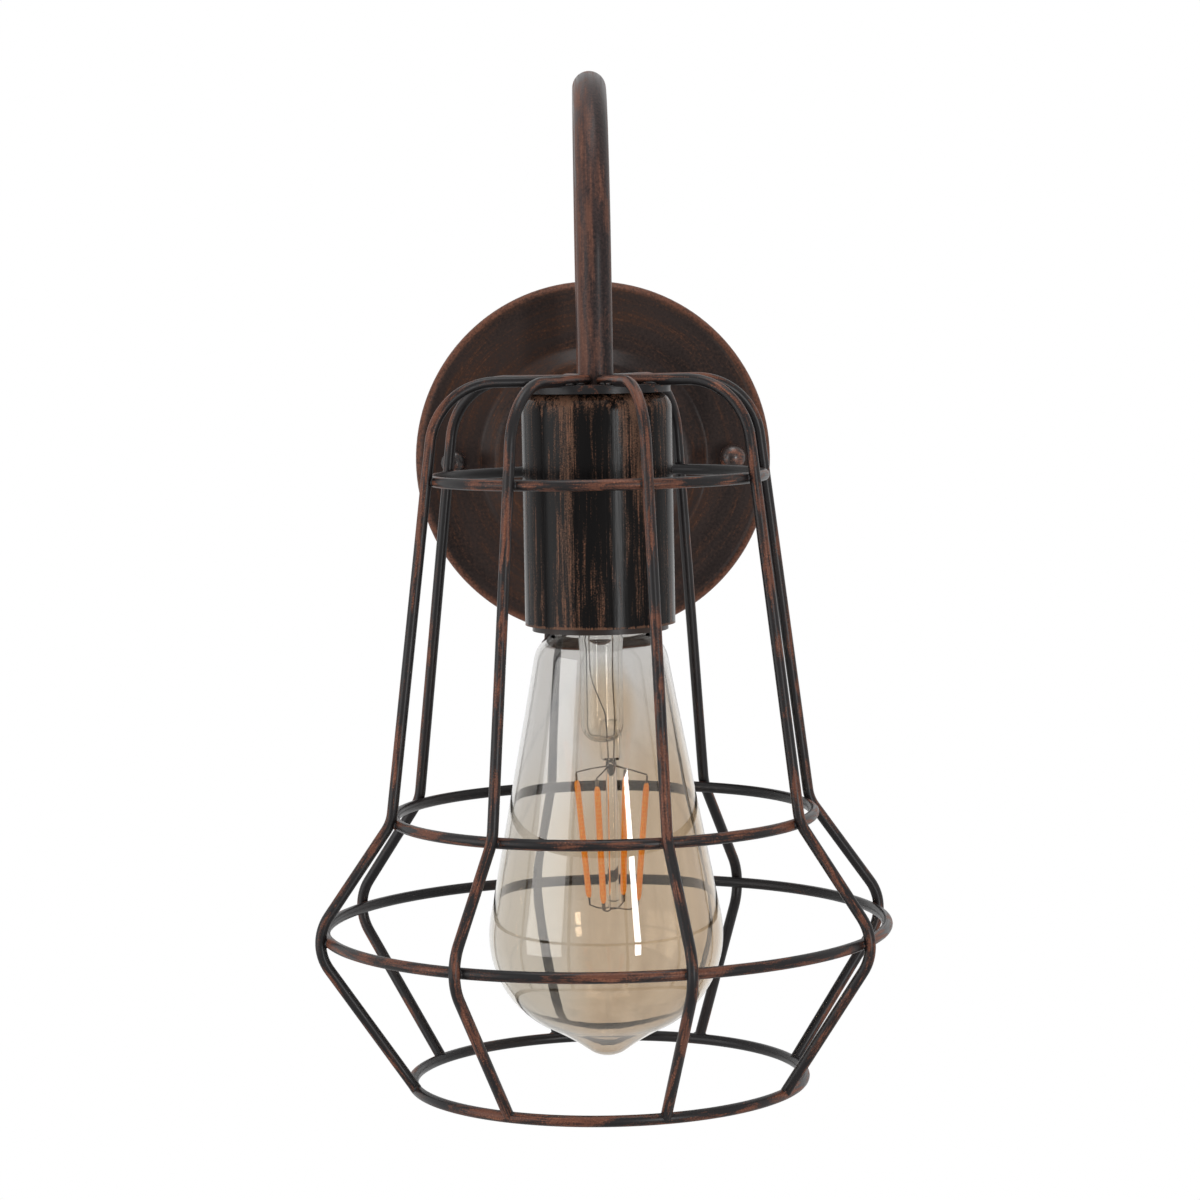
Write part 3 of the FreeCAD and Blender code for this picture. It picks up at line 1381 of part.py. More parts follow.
def make_driver():
    """Small circuit board in the cap that feeds the filaments."""
    board = primitive("Box", "bulb_driver", Length=dim.board_w, Width=dim.board_t, Height=dim.board_h)
    foot_z = cap_foot_z + dim.glass_in_cap
    place(board, x=-dim.board_w / 2, y=-arm_reach - dim.board_t / 2, z=foot_z)
    node(board, "bulb_driver_board")


make_bracket()
make_studs()
make_canopy()
make_terminal_block()
make_arm()
make_arm_fixings()
cage_ribs = make_ribs()
make_rings(cage_ribs)
make_plate(cage_ribs)
make_cup()
make_cup_fixings()
make_holder()
make_shell()
make_tongue()
make_terminals()
make_leads()
make_glass()
make_cap()
press_end_z, rod_end_z = make_stem()
make_filaments(press_end_z)
make_driver()
doc.recompute()

for thing in doc.Objects:
    if "Invalid" in thing.State or "Error" in thing.State:
        raise RuntimeError(f"{thing.Label} failed: {thing.State}")
for thing in nodes:
    if thing.Shape.isNull() or not thing.Shape.isValid() or not thing.Shape.Solids:
        raise RuntimeError(f"{thing.Label} has no valid solid")
for thing in nodes:
    thing.Shape.exportStep(f"parts/{thing.Label}.step")
print(f"{len(nodes)} sub-parts")
print(f"reach {arm_reach.value:.1f}, top {(arch_z + dim.arch_r + dim.arm_d / 2).value:.1f}")
print(f"cap foot {cap_foot_z.value:.1f}, tip {(cap_foot_z - dim.glass_len).value:.1f}")
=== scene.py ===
import math

import bmesh
import bpy
from mathutils import Matrix, Vector, noise


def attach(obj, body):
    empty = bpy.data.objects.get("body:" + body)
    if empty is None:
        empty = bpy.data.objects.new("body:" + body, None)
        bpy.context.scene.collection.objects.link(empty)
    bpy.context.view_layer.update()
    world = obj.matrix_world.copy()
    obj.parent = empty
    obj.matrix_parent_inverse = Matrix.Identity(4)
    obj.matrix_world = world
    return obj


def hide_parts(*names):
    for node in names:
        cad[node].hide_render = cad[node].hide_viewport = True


# Looks of the industrial wall lamp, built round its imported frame. Lengths are in millimetres
# until a mesh is made. The wall is the plane y = 0, and the lamp stands out towards -Y.

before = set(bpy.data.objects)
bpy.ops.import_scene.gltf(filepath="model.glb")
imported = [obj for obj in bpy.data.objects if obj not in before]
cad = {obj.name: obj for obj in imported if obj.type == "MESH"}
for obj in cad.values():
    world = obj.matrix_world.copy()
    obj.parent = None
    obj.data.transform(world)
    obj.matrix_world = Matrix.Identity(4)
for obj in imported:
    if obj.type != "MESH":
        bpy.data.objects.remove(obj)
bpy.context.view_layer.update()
scene = bpy.context.scene

MM = 0.001
TAU = math.tau
LAMP_Y = -140.0
RIGHT = Vector((1, 0, 0))
UP = Vector((0, 0, 1))

# Materials


def srgb(red, green, blue):
    """An 8-bit display colour as a linear one."""
    parts = (c / 255 for c in (red, green, blue))
    return tuple(c / 12.92 if c <= 0.04045 else ((c + 0.055) / 1.055) ** 2.4 for c in parts) + (1.0,)


# Socket numbers of the colour mix node, some of whose sockets share a name
MIX_FIRST, MIX_SECOND, MIX_RESULT = 6, 7, 2
NOISE_MIDDLE = 0.5


class Finish:
    """A material whose Principled shader is fed by procedural nodes."""

    def __init__(self, name, **shader):
        self.material = bpy.data.materials.new(name)
        self.material.use_nodes = True
        self.tree = self.material.node_tree
        self.tree.nodes.clear()
        self.shader = self.add("ShaderNodeBsdfPrincipled")
        for socket, value in shader.items():
            self.feed(self.shader.inputs[socket.replace("_", " ")], value)
        output = self.add("ShaderNodeOutputMaterial")
        self.tree.links.new(self.shader.outputs[0], output.inputs["Surface"])

    def add(self, kind, **settings):
        made = self.tree.nodes.new(kind)
        for key, value in settings.items():
            setattr(made, key, value)
        return made

    def feed(self, socket, value):
        if isinstance(value, bpy.types.NodeSocket):
            self.tree.links.new(value, socket)
        else:
            socket.default_value = value

    def set(self, socket, value):
        self.feed(self.shader.inputs[socket], value)

    def math(self, operation, *values):
        made = self.add("ShaderNodeMath", operation=operation)
        for socket, value in zip(made.inputs, values):
            self.feed(socket, value)
        return made.outputs[0]

    def vector(self, operation, *values):
        made = self.add("ShaderNodeVectorMath", operation=operation)
        for socket, value in zip(made.inputs, values):
            self.feed(socket, value)
        return made.outputs[0]

    def length(self, first, second):
        """The length of a vector that has these two parts."""
        squares = [self.math("MULTIPLY", part, part) for part in (first, second)]
        return self.math("SQRT", self.math("ADD", *squares))

    def place(self):
        """Where the point is on the object, in millimetres from the wall's origin."""
        here = self.add("ShaderNodeTexCoord").outputs["Object"]
        return self.vector("MULTIPLY", here, (1 / MM,) * 3)

    def split(self, vector):
        made = self.add("ShaderNodeSeparateXYZ")
        self.feed(made.inputs[0], vector)
        return made.outputs

    def join(self, x, y, z):
        made = self.add("ShaderNodeCombineXYZ")
        for socket, value in zip(made.inputs, (x, y, z)):
            self.feed(socket, value)
        return made.outputs[0]

    def noise(self, vector, scale=1.0, detail=3.0, rough=0.5, twist=0.0):
        made = self.add("ShaderNodeTexNoise")
        settings = {"Scale": scale, "Detail": detail, "Roughness": rough, "Distortion": twist}
        for socket, value in settings.items():
            made.inputs[socket].default_value = value
        self.feed(made.inputs["Vector"], vector)
        return made.outputs["Fac"]

    def step(self, value, low, high, start=0.0, end=1.0):
        """Smoothly from start to end as the value goes from low to high."""
        made = self.add("ShaderNodeMapRange", interpolation_type="SMOOTHSTEP")
        for socket, number in zip(made.inputs, (value, low, high, start, end)):
            self.feed(socket, number)
        return made.outputs[0]

    def mix(self, factor, first, second):
        made = self.add("ShaderNodeMix", data_type="RGBA")
        self.feed(made.inputs["Factor"], factor)
        self.feed(made.inputs[MIX_FIRST], first)
        self.feed(made.inputs[MIX_SECOND], second)
        return made.outputs[MIX_RESULT]

    def bump(self, height, distance, strength):
        """Unevenness of the skin, this many millimetres deep."""
        made = self.add("ShaderNodeBump")
        made.inputs["Strength"].default_value = strength
        made.inputs["Distance"].default_value = distance * MM
        self.feed(made.inputs["Height"], height)
        self.set("Normal", made.outputs[0])


BLACK = srgb(25, 23, 24)
UMBER = srgb(50, 40, 37)
COPPER = srgb(96, 58, 43)
BRIGHT_COPPER = srgb(140, 92, 70)
WORN_EDGE = srgb(112, 72, 56)
ARM_UMBER = srgb(68, 54, 52)
ARM_RUB = srgb(94, 64, 53)
ARM_GLEAM = srgb(116, 80, 66)
CANOPY_RUB = srgb(64, 42, 31)
CANOPY_GLEAM = srgb(92, 60, 44)
CANOPY_BLACK = srgb(24, 17, 16)
CUP_RUB = srgb(92, 68, 54)
CUP_BLACK = srgb(14, 12, 12)

# Worn places: from where to where each one fades in, and where it needs it, out again
CANOPY_CORNER, CANOPY_RIM = (-9.5, -12.0), (51.0, 53.4)
WORN_CORNER, WORN_RIM = (-9.8, -12.0), (51.8, 53.6)
BOSS_FOOT, BOSS_FOOT_END = (22.0, 26.0), (33.0, 28.0)
CUP_FOOT, CUP_SHOULDER = (-38.3, -38.9), (15.0, 22.0)
CUP_LEFT, CUP_LEFT_END = (-0.76, -0.56), (-0.22, -0.42)
CUP_RIGHT, CUP_RIGHT_END = (0.42, 0.5), (0.68, 0.58)
ARM_LEG, ARM_LEFT = (92.0, 50.0), (-1.0, 1.5)
ARM_OUTSIDE, WIRE_OUTSIDE = (-4.5, 1.0), (-1.3, 0.5)


def antique(name, strokes, patch, cover, ground=0.3, shine=0.14, extra=None, edge=None, black=BLACK,
            umber=UMBER, copper=COPPER, gleam=BRIGHT_COPPER, soft=0.09, rough=(0.3, 0.5), grit=0.4, fine=2.6):
    """Black lacquer rubbed through to copper by a brush.

    strokes gives the coordinate that the brush follows: x runs along the strokes, y and z
    across them. patch is how many rubbed patches there are to a millimetre, along and across,
    and cover shifts how much is rubbed. ground is how brown the lacquer is, and shine how much
    it mirrors. extra gives the places that are rubbed more or less, as a number to add. edge
    gives the share of bare copper where an edge is worn. The dark ground goes from black to
    umber and what is rubbed from copper to gleam. soft is how softly a patch ends, rough the
    least and the greatest roughness, grit how much the grain breaks the patches up, and fine
    how fine that grain is.
    """
    f = Finish(name)
    vector = strokes(f)
    along, across = patch

    def spots(length, width, *settings):
        """Noise with spots that run along the strokes, smaller as length and width grow."""
        size = (along * length, across * width, across * width)
        return f.noise(f.vector("MULTIPLY", vector, size), 1.0, *settings)

    broad = spots(1.0, 1.0, 3.0, 0.55, 0.5)
    cloud = spots(0.3, 0.2, 2.0)
    hair = spots(0.9, 4.5, 4.0, 0.6)
    grain = f.noise(f.place(), fine, 3.0, 0.65)
    rub = broad
    for source, weight in ((hair, 0.5), (cloud, 0.5), (grain, grit)):
        rub = f.math("MULTIPLY_ADD", f.math("SUBTRACT", source, NOISE_MIDDLE), weight, rub)
    rub = f.math("ADD", rub, cover)
    if extra is not None:
        rub = f.math("ADD", rub, extra(f))
    rubbed = f.step(rub, NOISE_MIDDLE - soft, NOISE_MIDDLE + soft)
    fleck = f.math("MULTIPLY_ADD", grain, 0.5, f.math("MULTIPLY", hair, 0.5))
    bright = f.math("MULTIPLY", f.step(fleck, 0.5, 0.68), rubbed)
    tone = f.math("MULTIPLY_ADD", cloud, 0.6, f.math("MULTIPLY", grain, 0.4))
    brown = f.step(tone, 0.62 - ground * 0.5, 0.92 - ground * 0.5)
    dark = f.mix(brown, black, umber)
    colour = f.mix(rubbed, dark, f.mix(bright, copper, gleam))
    if edge is not None:
        colour = f.mix(edge(f, grain), colour, WORN_EDGE)
    f.set("Base Color", colour)
    f.set("Roughness", f.step(f.math("MULTIPLY_ADD", rubbed, 0.4, hair), 0.3, 1.0, *rough))
    f.set("Specular IOR Level", shine)
    f.bump(f.math("MULTIPLY_ADD", grain, 0.6, hair), 0.04, 0.35)
    return f.material


def along_sweep(f):
    """Strokes that run along a swept tube or wire."""
    made = f.add("ShaderNodeAttribute", attribute_name="streak")
    return made.outputs["Vector"]


def along_z(f):
    """Strokes that run up and down."""
    x, y, z = f.split(f.place())
    return f.join(z, x, f.math("SUBTRACT", y, LAMP_Y))


CANOPY_MEAN_R = 40.0


def round_wall(f):
    """Strokes that run round the wall's axis, as the canopy was spun and rubbed."""
    x, y, z = f.split(f.place())
    turn = f.math("MULTIPLY", f.math("ARCTAN2", x, z), CANOPY_MEAN_R)
    return f.join(turn, f.length(x, z), y)


def anywhere(f):
    """No strokes: patches of any direction."""
    return f.place()


def wire_sides(f):
    """The brush reaches a wire's outer side and hardly its inner one."""
    out = f.split(along_sweep(f))[2]
    return f.step(out, *WIRE_OUTSIDE, -0.3, 0.0)


def arm_sides(f):
    """The arm is rubbed more on its outer side, low on its legs and on the left."""
    out = f.split(along_sweep(f))[2]
    x, _, z = f.split(f.place())
    leg = f.math("ADD", f.step(z, *ARM_LEG, -0.06, 0.04), f.step(x, *ARM_LEFT, 0.03, -0.05))
    return f.math("ADD", f.step(out, *ARM_OUTSIDE, -0.12, 0.0), leg)


def canopy_places(f):
    """The round rim is rubbed bright, and so is the foot of the boss in places."""
    x, y, z = f.split(f.place())
    radius = f.length(x, z)
    rim = f.math("MULTIPLY", f.step(radius, *CANOPY_RIM, 0.0, 0.3), f.step(y, *CANOPY_CORNER))
    foot = f.math("MULTIPLY", f.step(radius, *BOSS_FOOT), f.step(radius, *BOSS_FOOT_END, 0.0, 0.1))
    return f.math("ADD", rim, foot)


def canopy_rim(f, grain):
    """The round corner between the canopy's wall and its face is worn bare."""
    x, y, z = f.split(f.place())
    corner = f.math("MULTIPLY", f.step(f.length(x, z), *WORN_RIM), f.step(y, *WORN_CORNER))
    return f.math("MULTIPLY", corner, f.step(grain, 0.35, 0.6, 0.25, 0.95))


def cup_places(f):
    """Rubbed shoulder and foot, and two bands of strokes down the wall."""
    x, y, z = f.split(f.place())
    foot = f.step(z, *CUP_FOOT, 0.0, 0.3)
    shoulder = f.step(z, *CUP_SHOULDER, 0.0, 0.2)
    turn = f.math("ARCTAN2", x, f.math("SUBTRACT", LAMP_Y, y))
    left = f.math("MULTIPLY", f.step(turn, *CUP_LEFT), f.step(turn, *CUP_LEFT_END, 0.0, 0.17))
    right = f.math("MULTIPLY", f.step(turn, *CUP_RIGHT), f.step(turn, *CUP_RIGHT_END, 0.0, 0.12))
    bands = f.math("ADD", left, right)
    return f.math("ADD", f.math("MAXIMUM", foot, shoulder), bands)


wire_metal = antique("antique_wire", along_sweep, (0.09, 0.45), -0.05, shine=0.22, extra=wire_sides, soft=0.11)
arm_metal = antique("antique_arm", along_sweep, (0.055, 0.3), -0.04, ground=0.55, shine=0.12, extra=arm_sides,
                    umber=ARM_UMBER, copper=ARM_RUB, gleam=ARM_GLEAM, soft=0.15, grit=0.3, fine=1.4)
canopy_metal = antique("antique_canopy", round_wall, (0.06, 0.4), -0.15, ground=0.7, shine=0.11,
                       extra=canopy_places, edge=canopy_rim, black=CANOPY_BLACK, copper=CANOPY_RUB,
                       gleam=CANOPY_GLEAM, soft=0.26, grit=0.8, fine=1.1)
cup_metal = antique("antique_cup", along_z, (0.05, 0.8), -0.2, ground=0.0, shine=0.085, extra=cup_places,
                    black=CUP_BLACK, copper=CUP_RUB, soft=0.16, rough=(0.14, 0.4), grit=0.6)
small_metal = antique("antique_small", anywhere, (0.2, 0.3), -0.12, ground=0.6, shine=0.4, rough=(0.22, 0.4))
# Dark finish for the welds, and painted shade on the cage plate, which lies in shade between the wires and the
# cup
dark_weld_and_painted_shade = antique("antique_dark_and_painted_shade", anywhere, (0.3, 0.5), -0.16, ground=0.1, shine=0.2)


def plain_metal(name, light, dark, rough, grain=3.0):
    """Plated or drawn metal with a slightly cloudy tone and a fine grain."""
    f = Finish(name, Metallic=1.0)
    cloud = f.noise(f.place(), 0.35, 4.0, 0.6)
    fine = f.noise(f.place(), grain, 4.0, 0.7)
    f.set("Base Color", f.mix(f.step(cloud, 0.3, 0.7), dark, light))
    f.set("Roughness", f.step(fine, 0.3, 0.7, rough * 0.75, rough * 1.3))
    f.bump(fine, 0.02, 0.4)
    return f.material


zinc = plain_metal("zinc_plate", srgb(205, 205, 200), srgb(168, 170, 172), rough=0.34)
brass = plain_metal("pressed_brass", srgb(214, 178, 104), srgb(176, 138, 72), rough=0.3)
bright_wire = plain_metal("drawn_wire", srgb(150, 140, 130), srgb(96, 86, 78), rough=0.35, grain=9.0)
nickel = plain_metal("plated_cap", srgb(128, 104, 78), srgb(92, 72, 54), rough=0.34)
solder = plain_metal("soldered_tip", srgb(186, 188, 190), srgb(140, 142, 146), rough=0.42, grain=1.6)

ROD_PITCH = 1.0
AXIS_Y, AXIS_Z = 1, 2


def threaded(name, axis):
    """Zinc-plated rod along one axis, whose fine rolled thread is in its normals. Its colour also follows the
    thread: painted shade in the grooves, painted light on the crests.
    """
    f = Finish(name, Metallic=1.0)
    along = f.split(f.place())[axis]
    wave = f.math("SINE", f.math("MULTIPLY", along, TAU / ROD_PITCH))
    cloud = f.noise(f.place(), 0.5, 4.0, 0.6)
    # Painted shade in the thread's grooves and painted light on its crests
    tone = f.math("MULTIPLY_ADD", wave, 0.25, cloud)
    f.set("Base Color", f.mix(tone, srgb(120, 120, 120), srgb(202, 202, 198)))
    f.set("Roughness", f.step(cloud, 0.3, 0.7, 0.28, 0.42))
    f.bump(wave, 0.25, 0.8)
    return f.material


thread_y = threaded("thread_to_wall", AXIS_Y)
thread_z = threaded("thread_upright", AXIS_Z)


def moulded(name, light, dark, rough, grain=1.2, depth=0.02, **shader):
    """Moulded or glazed stuff: a soft cloud of tone and a faint uneven skin."""
    f = Finish(name, **shader)
    cloud = f.noise(f.place(), 0.12, 3.0, 0.5)
    fine = f.noise(f.place(), grain, 3.0, 0.6)
    f.set("Base Color", f.mix(f.step(cloud, 0.3, 0.7), dark, light))
    f.set("Roughness", f.step(fine, 0.3, 0.7, rough * 0.85, rough * 1.2))
    f.bump(fine, depth, 0.5)
    return f.material


block_plastic = moulded("block_plastic", srgb(232, 230, 222), srgb(216, 212, 200), rough=0.42)
ceramic = moulded("glazed_ceramic", srgb(48, 36, 30), srgb(30, 23, 21), rough=0.36, grain=0.5, depth=0.05,
                  Specular_IOR_Level=0.22)
brown_pvc = moulded("brown_insulation", srgb(104, 62, 38), srgb(86, 50, 32), rough=0.42)
blue_pvc = moulded("blue_insulation", srgb(52, 92, 176), srgb(40, 74, 150), rough=0.42)
black_glass = moulded("black_glass", srgb(34, 34, 38), srgb(22, 22, 26), rough=0.14, grain=0.4)
board_face = moulded("board_laminate", srgb(222, 218, 196), srgb(206, 200, 174), rough=0.35)


def earth_sleeve():
    """Green insulation with a yellow stripe that winds slowly round it."""
    f = Finish("earth_insulation")
    x, _, z = f.split(f.place())
    wave = f.math("SINE", f.math("ADD", f.math("MULTIPLY", x, 1.5), f.math("MULTIPLY", z, 0.35)))
    stripe = f.step(wave, 0.05, 0.2)
    fine = f.noise(f.place(), 1.4, 3.0)
    yellow = f.mix(fine, srgb(226, 200, 60), srgb(206, 176, 40))
    green = f.mix(fine, srgb(64, 132, 58), srgb(46, 108, 44))
    f.set("Base Color", f.mix(stripe, green, yellow))
    f.set("Roughness", f.step(fine, 0.3, 0.7, 0.36, 0.48))
    f.bump(fine, 0.02, 0.5)
    return f.material


COAT_STARTS = (-40.0, -84.0)
# Where the left side of the glass is painted paler, as a painted reflection of the light there
PAINTED_REFLECTION_SIDE = (-2.0, -16.0)
# Where the spot of coat near the top right lies: a painted dark reflection
DARK_REFLECTION_X, DARK_REFLECTION_Z = 6.0, -64.0


def glass(name, tint, deep, top, reflection_tint):
    """Blown glass with a coat in soft upright bands.

    The bands go from tint to deep. The left side is painted paler, as a painted reflection of the light
    on that side. At the top there is hardly any coat but for one spot, a painted dark reflection.
    """
    f = Finish(name, Transmission_Weight=1.0, IOR=1.5, Roughness=0.0)
    x, y, z = f.split(f.place())
    spread = f.join(f.math("MULTIPLY", x, 0.16), f.math("MULTIPLY", y, 0.16), f.math("MULTIPLY", z, 0.01))
    upright = f.noise(spread, 1.0, 2.0)
    bands = f.step(upright, 0.35, 0.7)
    cloud = f.noise(f.place(), 0.035, 2.0)
    start = f.math("MULTIPLY_ADD", x, -0.6, f.math("MULTIPLY_ADD", cloud, 24.0, z))
    # A spot of coat near the top right: a painted dark reflection
    aside = f.math("MULTIPLY_ADD", cloud, 1.2, f.math("MULTIPLY", f.math("SUBTRACT", x, DARK_REFLECTION_X), 0.12))
    above = f.math("MULTIPLY", f.math("SUBTRACT", z, DARK_REFLECTION_Z), 0.075)
    dark_reflection = f.step(f.length(aside, above), 1.3, 0.5, 0.0, 0.9)
    coat = f.math("MAXIMUM", f.step(start, *COAT_STARTS), dark_reflection)
    # Painted reflection: the left side is painted paler, standing in for the light reflected there
    painted_reflection = f.step(x, *PAINTED_REFLECTION_SIDE, 0.0, 0.9)
    colour = f.mix(painted_reflection, f.mix(bands, tint, deep), reflection_tint)
    f.set("Base Color", f.mix(coat, top, colour))
    f.bump(upright, 0.01, 1.0)
    return f.material


# reflection_tint is the paler colour painted on the left side as a painted reflection
amber_glass = glass("amber_glass", tint=(0.69, 0.6, 0.49, 1.0), deep=(0.625, 0.53, 0.42, 1.0),
                    top=(0.71, 0.7, 0.685, 1.0), reflection_tint=(0.7, 0.665, 0.605, 1.0))
clear_glass = glass("clear_glass", tint=(0.97, 0.97, 0.96, 1.0), deep=(0.93, 0.93, 0.91, 1.0),
                    top=(0.96, 0.96, 0.95, 1.0), reflection_tint=(0.96, 0.96, 0.95, 1.0))


DIODE_PITCH = 1.15


def coat_with_painted_glow():
    """Orange silicone coat over a line of diodes, given a faint painted glow though the lamp is not lit."""
    f = Finish("filament_coat", Roughness=0.45, Emission_Color=(1.0, 0.3, 0.02, 1.0), Emission_Strength=0.28)
    vector = along_sweep(f)
    along = f.split(vector)[0]
    beads = f.math("SINE", f.math("MULTIPLY", along, TAU / DIODE_PITCH))
    fine = f.noise(f.vector("MULTIPLY", vector, (0.8, 2.0, 2.0)), 1.0, 3.0)
    tone = f.math("MULTIPLY_ADD", beads, 0.12, fine)
    f.set("Base Color", f.mix(f.step(tone, 0.3, 0.75), srgb(255, 152, 50), srgb(255, 186, 92)))
    f.bump(f.math("MULTIPLY_ADD", beads, 0.3, fine), 0.04, 0.6)
    return f.material


filament_coat = coat_with_painted_glow()

# Shapes

TINY = 1e-6


class Shape:
    """Gathers the points and faces of one piece, with the stroke coordinate of each point."""

    def __init__(self):
        self.points = []
        self.faces = []
        self.slots = []
        self.streaks = []

    def add(self, points, faces, slot=0, streaks=None):
        first = len(self.points)
        self.points += [Vector(p) for p in points]
        self.faces += [[first + i for i in face] for face in faces]
        self.slots += [slot] * len(faces)
        self.streaks += streaks or [Vector(p) for p in points]

    def skin(self, rings, closed=False, slot=0, streaks=None):
        """Quads between rings of points. A ring of one point is a tip."""
        points, faces, starts = [], [], []
        for ring in rings:
            starts.append(len(points))
            points += ring
        pairs = [(k, k + 1) for k in range(len(rings) - 1)]
        if closed:
            pairs.append((len(rings) - 1, 0))
        for a, b in pairs:
            low, high = rings[a], rings[b]
            count = max(len(low), len(high))
            for i in range(count):
                j = (i + 1) % count
                face = [starts[a]] if len(low) == 1 else [starts[a] + i, starts[a] + j]
                face += [starts[b]] if len(high) == 1 else [starts[b] + j, starts[b] + i]
                faces.append(face)
        self.add(points, faces, slot, streaks)

    def turned(self, profile, sides=96, closed=False, swell=None, centre=(0.0, LAMP_Y)):
        """An outline of (radius, height) turned about an upright axis. swell adds to a radius."""
        x, y = centre
        rings = []
        for radius, height in profile:
            if radius < TINY:
                rings.append([Vector((x, y, height))])
                continue
            ring = []
            for i in range(sides):
                angle = TAU * i / sides
                r = radius + (swell(angle, height) if swell else 0.0)
                ring.append(Vector((x + math.cos(angle) * r, y + math.sin(angle) * r, height)))
            rings.append(ring)
        self.skin(rings, closed)

    def tube(self, path, radius, sides=20, ends=True, slot=0, flat=1.0, start=0.0, normal=None, swell=None):
        """A round or flattened section swept along a path.

        normal is the section's first side, start the length from which its strokes count, and
        swell a factor for the radius, given the share of the path.
        """
        path = [Vector(p) for p in path]
        last = len(path) - 1
        rings, streaks = [], []
        travelled = start
        side = Vector(normal) if normal is not None else None
        for k, here in enumerate(path):
            before = path[k - 1] if k else here
            after = path[k + 1] if k < last else here
            ahead = (after - before).normalized()
            if side is None:
                side = ahead.orthogonal()
            side = (side - ahead * side.dot(ahead)).normalized()
            across = ahead.cross(side)
            if k:
                travelled += (here - path[k - 1]).length
            r = radius * (swell(k / last) if swell else 1.0)
            ring, marks = [], []
            for i in range(sides):
                angle = TAU * i / sides
                c, s = math.cos(angle) * r, math.sin(angle) * r
                ring.append(here + side * c * flat + across * s)
                marks.append(Vector((travelled, c, s)))
            rings.append(ring)
            streaks.append(marks)
        if ends:
            rings = [[path[0]]] + rings + [[path[-1]]]
            streaks = [[Vector((start, 0, 0))]] + streaks + [[Vector((travelled, 0, 0))]]
        self.skin(rings, slot=slot, streaks=[mark for ring in streaks for mark in ring])

    def piece(self, name, body, slot, materials, stands_for=(), sharp=40.0):
        """Makes the mesh. It rides on a body and takes the place of the nodes it stands for."""
        data = bpy.data.meshes.new(name)
        data.from_pydata([p * MM for p in self.points], [], self.faces)
        for material in materials:
            data.materials.append(material)
        data.polygons.foreach_set("material_index", self.slots)
        data.polygons.foreach_set("use_smooth", [True] * len(self.faces))
        streak = data.attributes.new("streak", "FLOAT_VECTOR", "POINT")
        streak.data.foreach_set("vector", [c for mark in self.streaks for c in mark])
        mesh = bmesh.new()
        mesh.from_mesh(data)
        bmesh.ops.recalc_face_normals(mesh, faces=mesh.faces)
        mesh.to_mesh(data)
        mesh.free()
        data.validate()
        data.set_sharp_from_angle(angle=math.radians(sharp))
        made = bpy.data.objects.new(name, data)
        scene.collection.objects.link(made)
        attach(made, body)
        if stands_for:
            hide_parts(*stands_for)


def rounded(corners, radii, step=1.0):
    """Points along straight runs through the corners, joined by arcs of the radii."""
    corners = [Vector(c) for c in corners]
    points = [corners[0]]
    for before, corner, after, radius in zip(corners, corners[1:], corners[2:], radii):
        back = (before - corner).normalized()
        ahead = (after - corner).normalized()
        half = back.angle(ahead) / 2
        reach = radius / math.tan(half)
        centre = corner + (back + ahead).normalized() * (radius / math.sin(half))
        enter, leave = corner + back * reach - centre, corner + ahead * reach - centre
        turn = enter.angle(leave)
        count = max(3, round(turn * radius / step))
        for k in range(count + 1):
            share = k / count
            a, b = math.sin((1 - share) * turn), math.sin(share * turn)
            points.append(centre + (enter * a + leave * b) / math.sin(turn))
    points.append(corners[-1])
    return points


def arc(centre, radius, first, last, count):
    """Points (radius, height) on an arc of an outline. Angles are in degrees from outwards."""
    angles = [math.radians(first + (last - first) * k / count) for k in range(count + 1)]
    return [(centre[0] + math.cos(a) * radius, centre[1] + math.sin(a) * radius) for a in angles]


def spoke(azimuth, radius, height):
    """A place round the lamp's axis. Azimuths start at the front and go towards +X."""
    a = math.radians(azimuth)
    return Vector((math.sin(a) * radius, LAMP_Y - math.cos(a) * radius, height))


def outwards(azimuth):
    """The level direction away from the lamp's axis."""
    return spoke(azimuth, 1, 0) - spoke(0, 0, 0)


# Arm

ARM_R = 4.7
ARM_BORE = 4.05
ARM_SIDES = 48
REAR_BEND_R = 14.0
ARCH_R = 48.5
ARCH_TOP = 59.0 + ARCH_R
NOSE_Y = -22
RISE_Y = -43
PLATE_TOP = 25.4

arm = Shape()
arm_route = [(NOSE_Y, 0), (RISE_Y, 0), (RISE_Y, ARCH_TOP), (LAMP_Y, ARCH_TOP), (LAMP_Y, PLATE_TOP)]
arm_path = rounded([(0, y, z) for y, z in arm_route], [REAR_BEND_R, ARCH_R, ARCH_R])
arm.tube(arm_path, ARM_R, sides=ARM_SIDES, ends=False, normal=RIGHT)
arm.tube(arm_path, ARM_BORE, sides=32, ends=False, normal=RIGHT)
for end, ahead in ((arm_path[0], Vector((0, 1, 0))), (arm_path[-1], UP)):
    across = ahead.cross(RIGHT)
    angles = [TAU * i / ARM_SIDES for i in range(ARM_SIDES)]
    rings = []
    for r in (ARM_R, ARM_BORE):
        rings.append([end + RIGHT * math.cos(a) * r + across * math.sin(a) * r for a in angles])
    arm.skin(rings)
arm.piece("arm", "lamp", "antique_metal", [arm_metal], ["arm_tube"])

# Cage

WIRE_R = 1.5
CAGE_TURN = 15.2
RINGS = {"neck": (44.8, 0.4), "waist": (56.9, -91.1), "belly": (76.4, -121.6), "mouth": (53.4, -163.5)}
RIB_CORNERS = [(5.7, 26.5), (44.083, 26.5), (59.015, -90.259), (81.769, -121.506), (53.792, -162.92)]
RIB_BENDS = [18.0, 10.0, 12.5]
RIB_AZIMUTHS = [CAGE_TURN + 45 * i for i in range(8)]
RING_STEPS = 220
# Each wire's strokes count from another length, so that no two wires are rubbed alike
RIB_SHIFT, RING_SHIFT = 61.7, 97.3

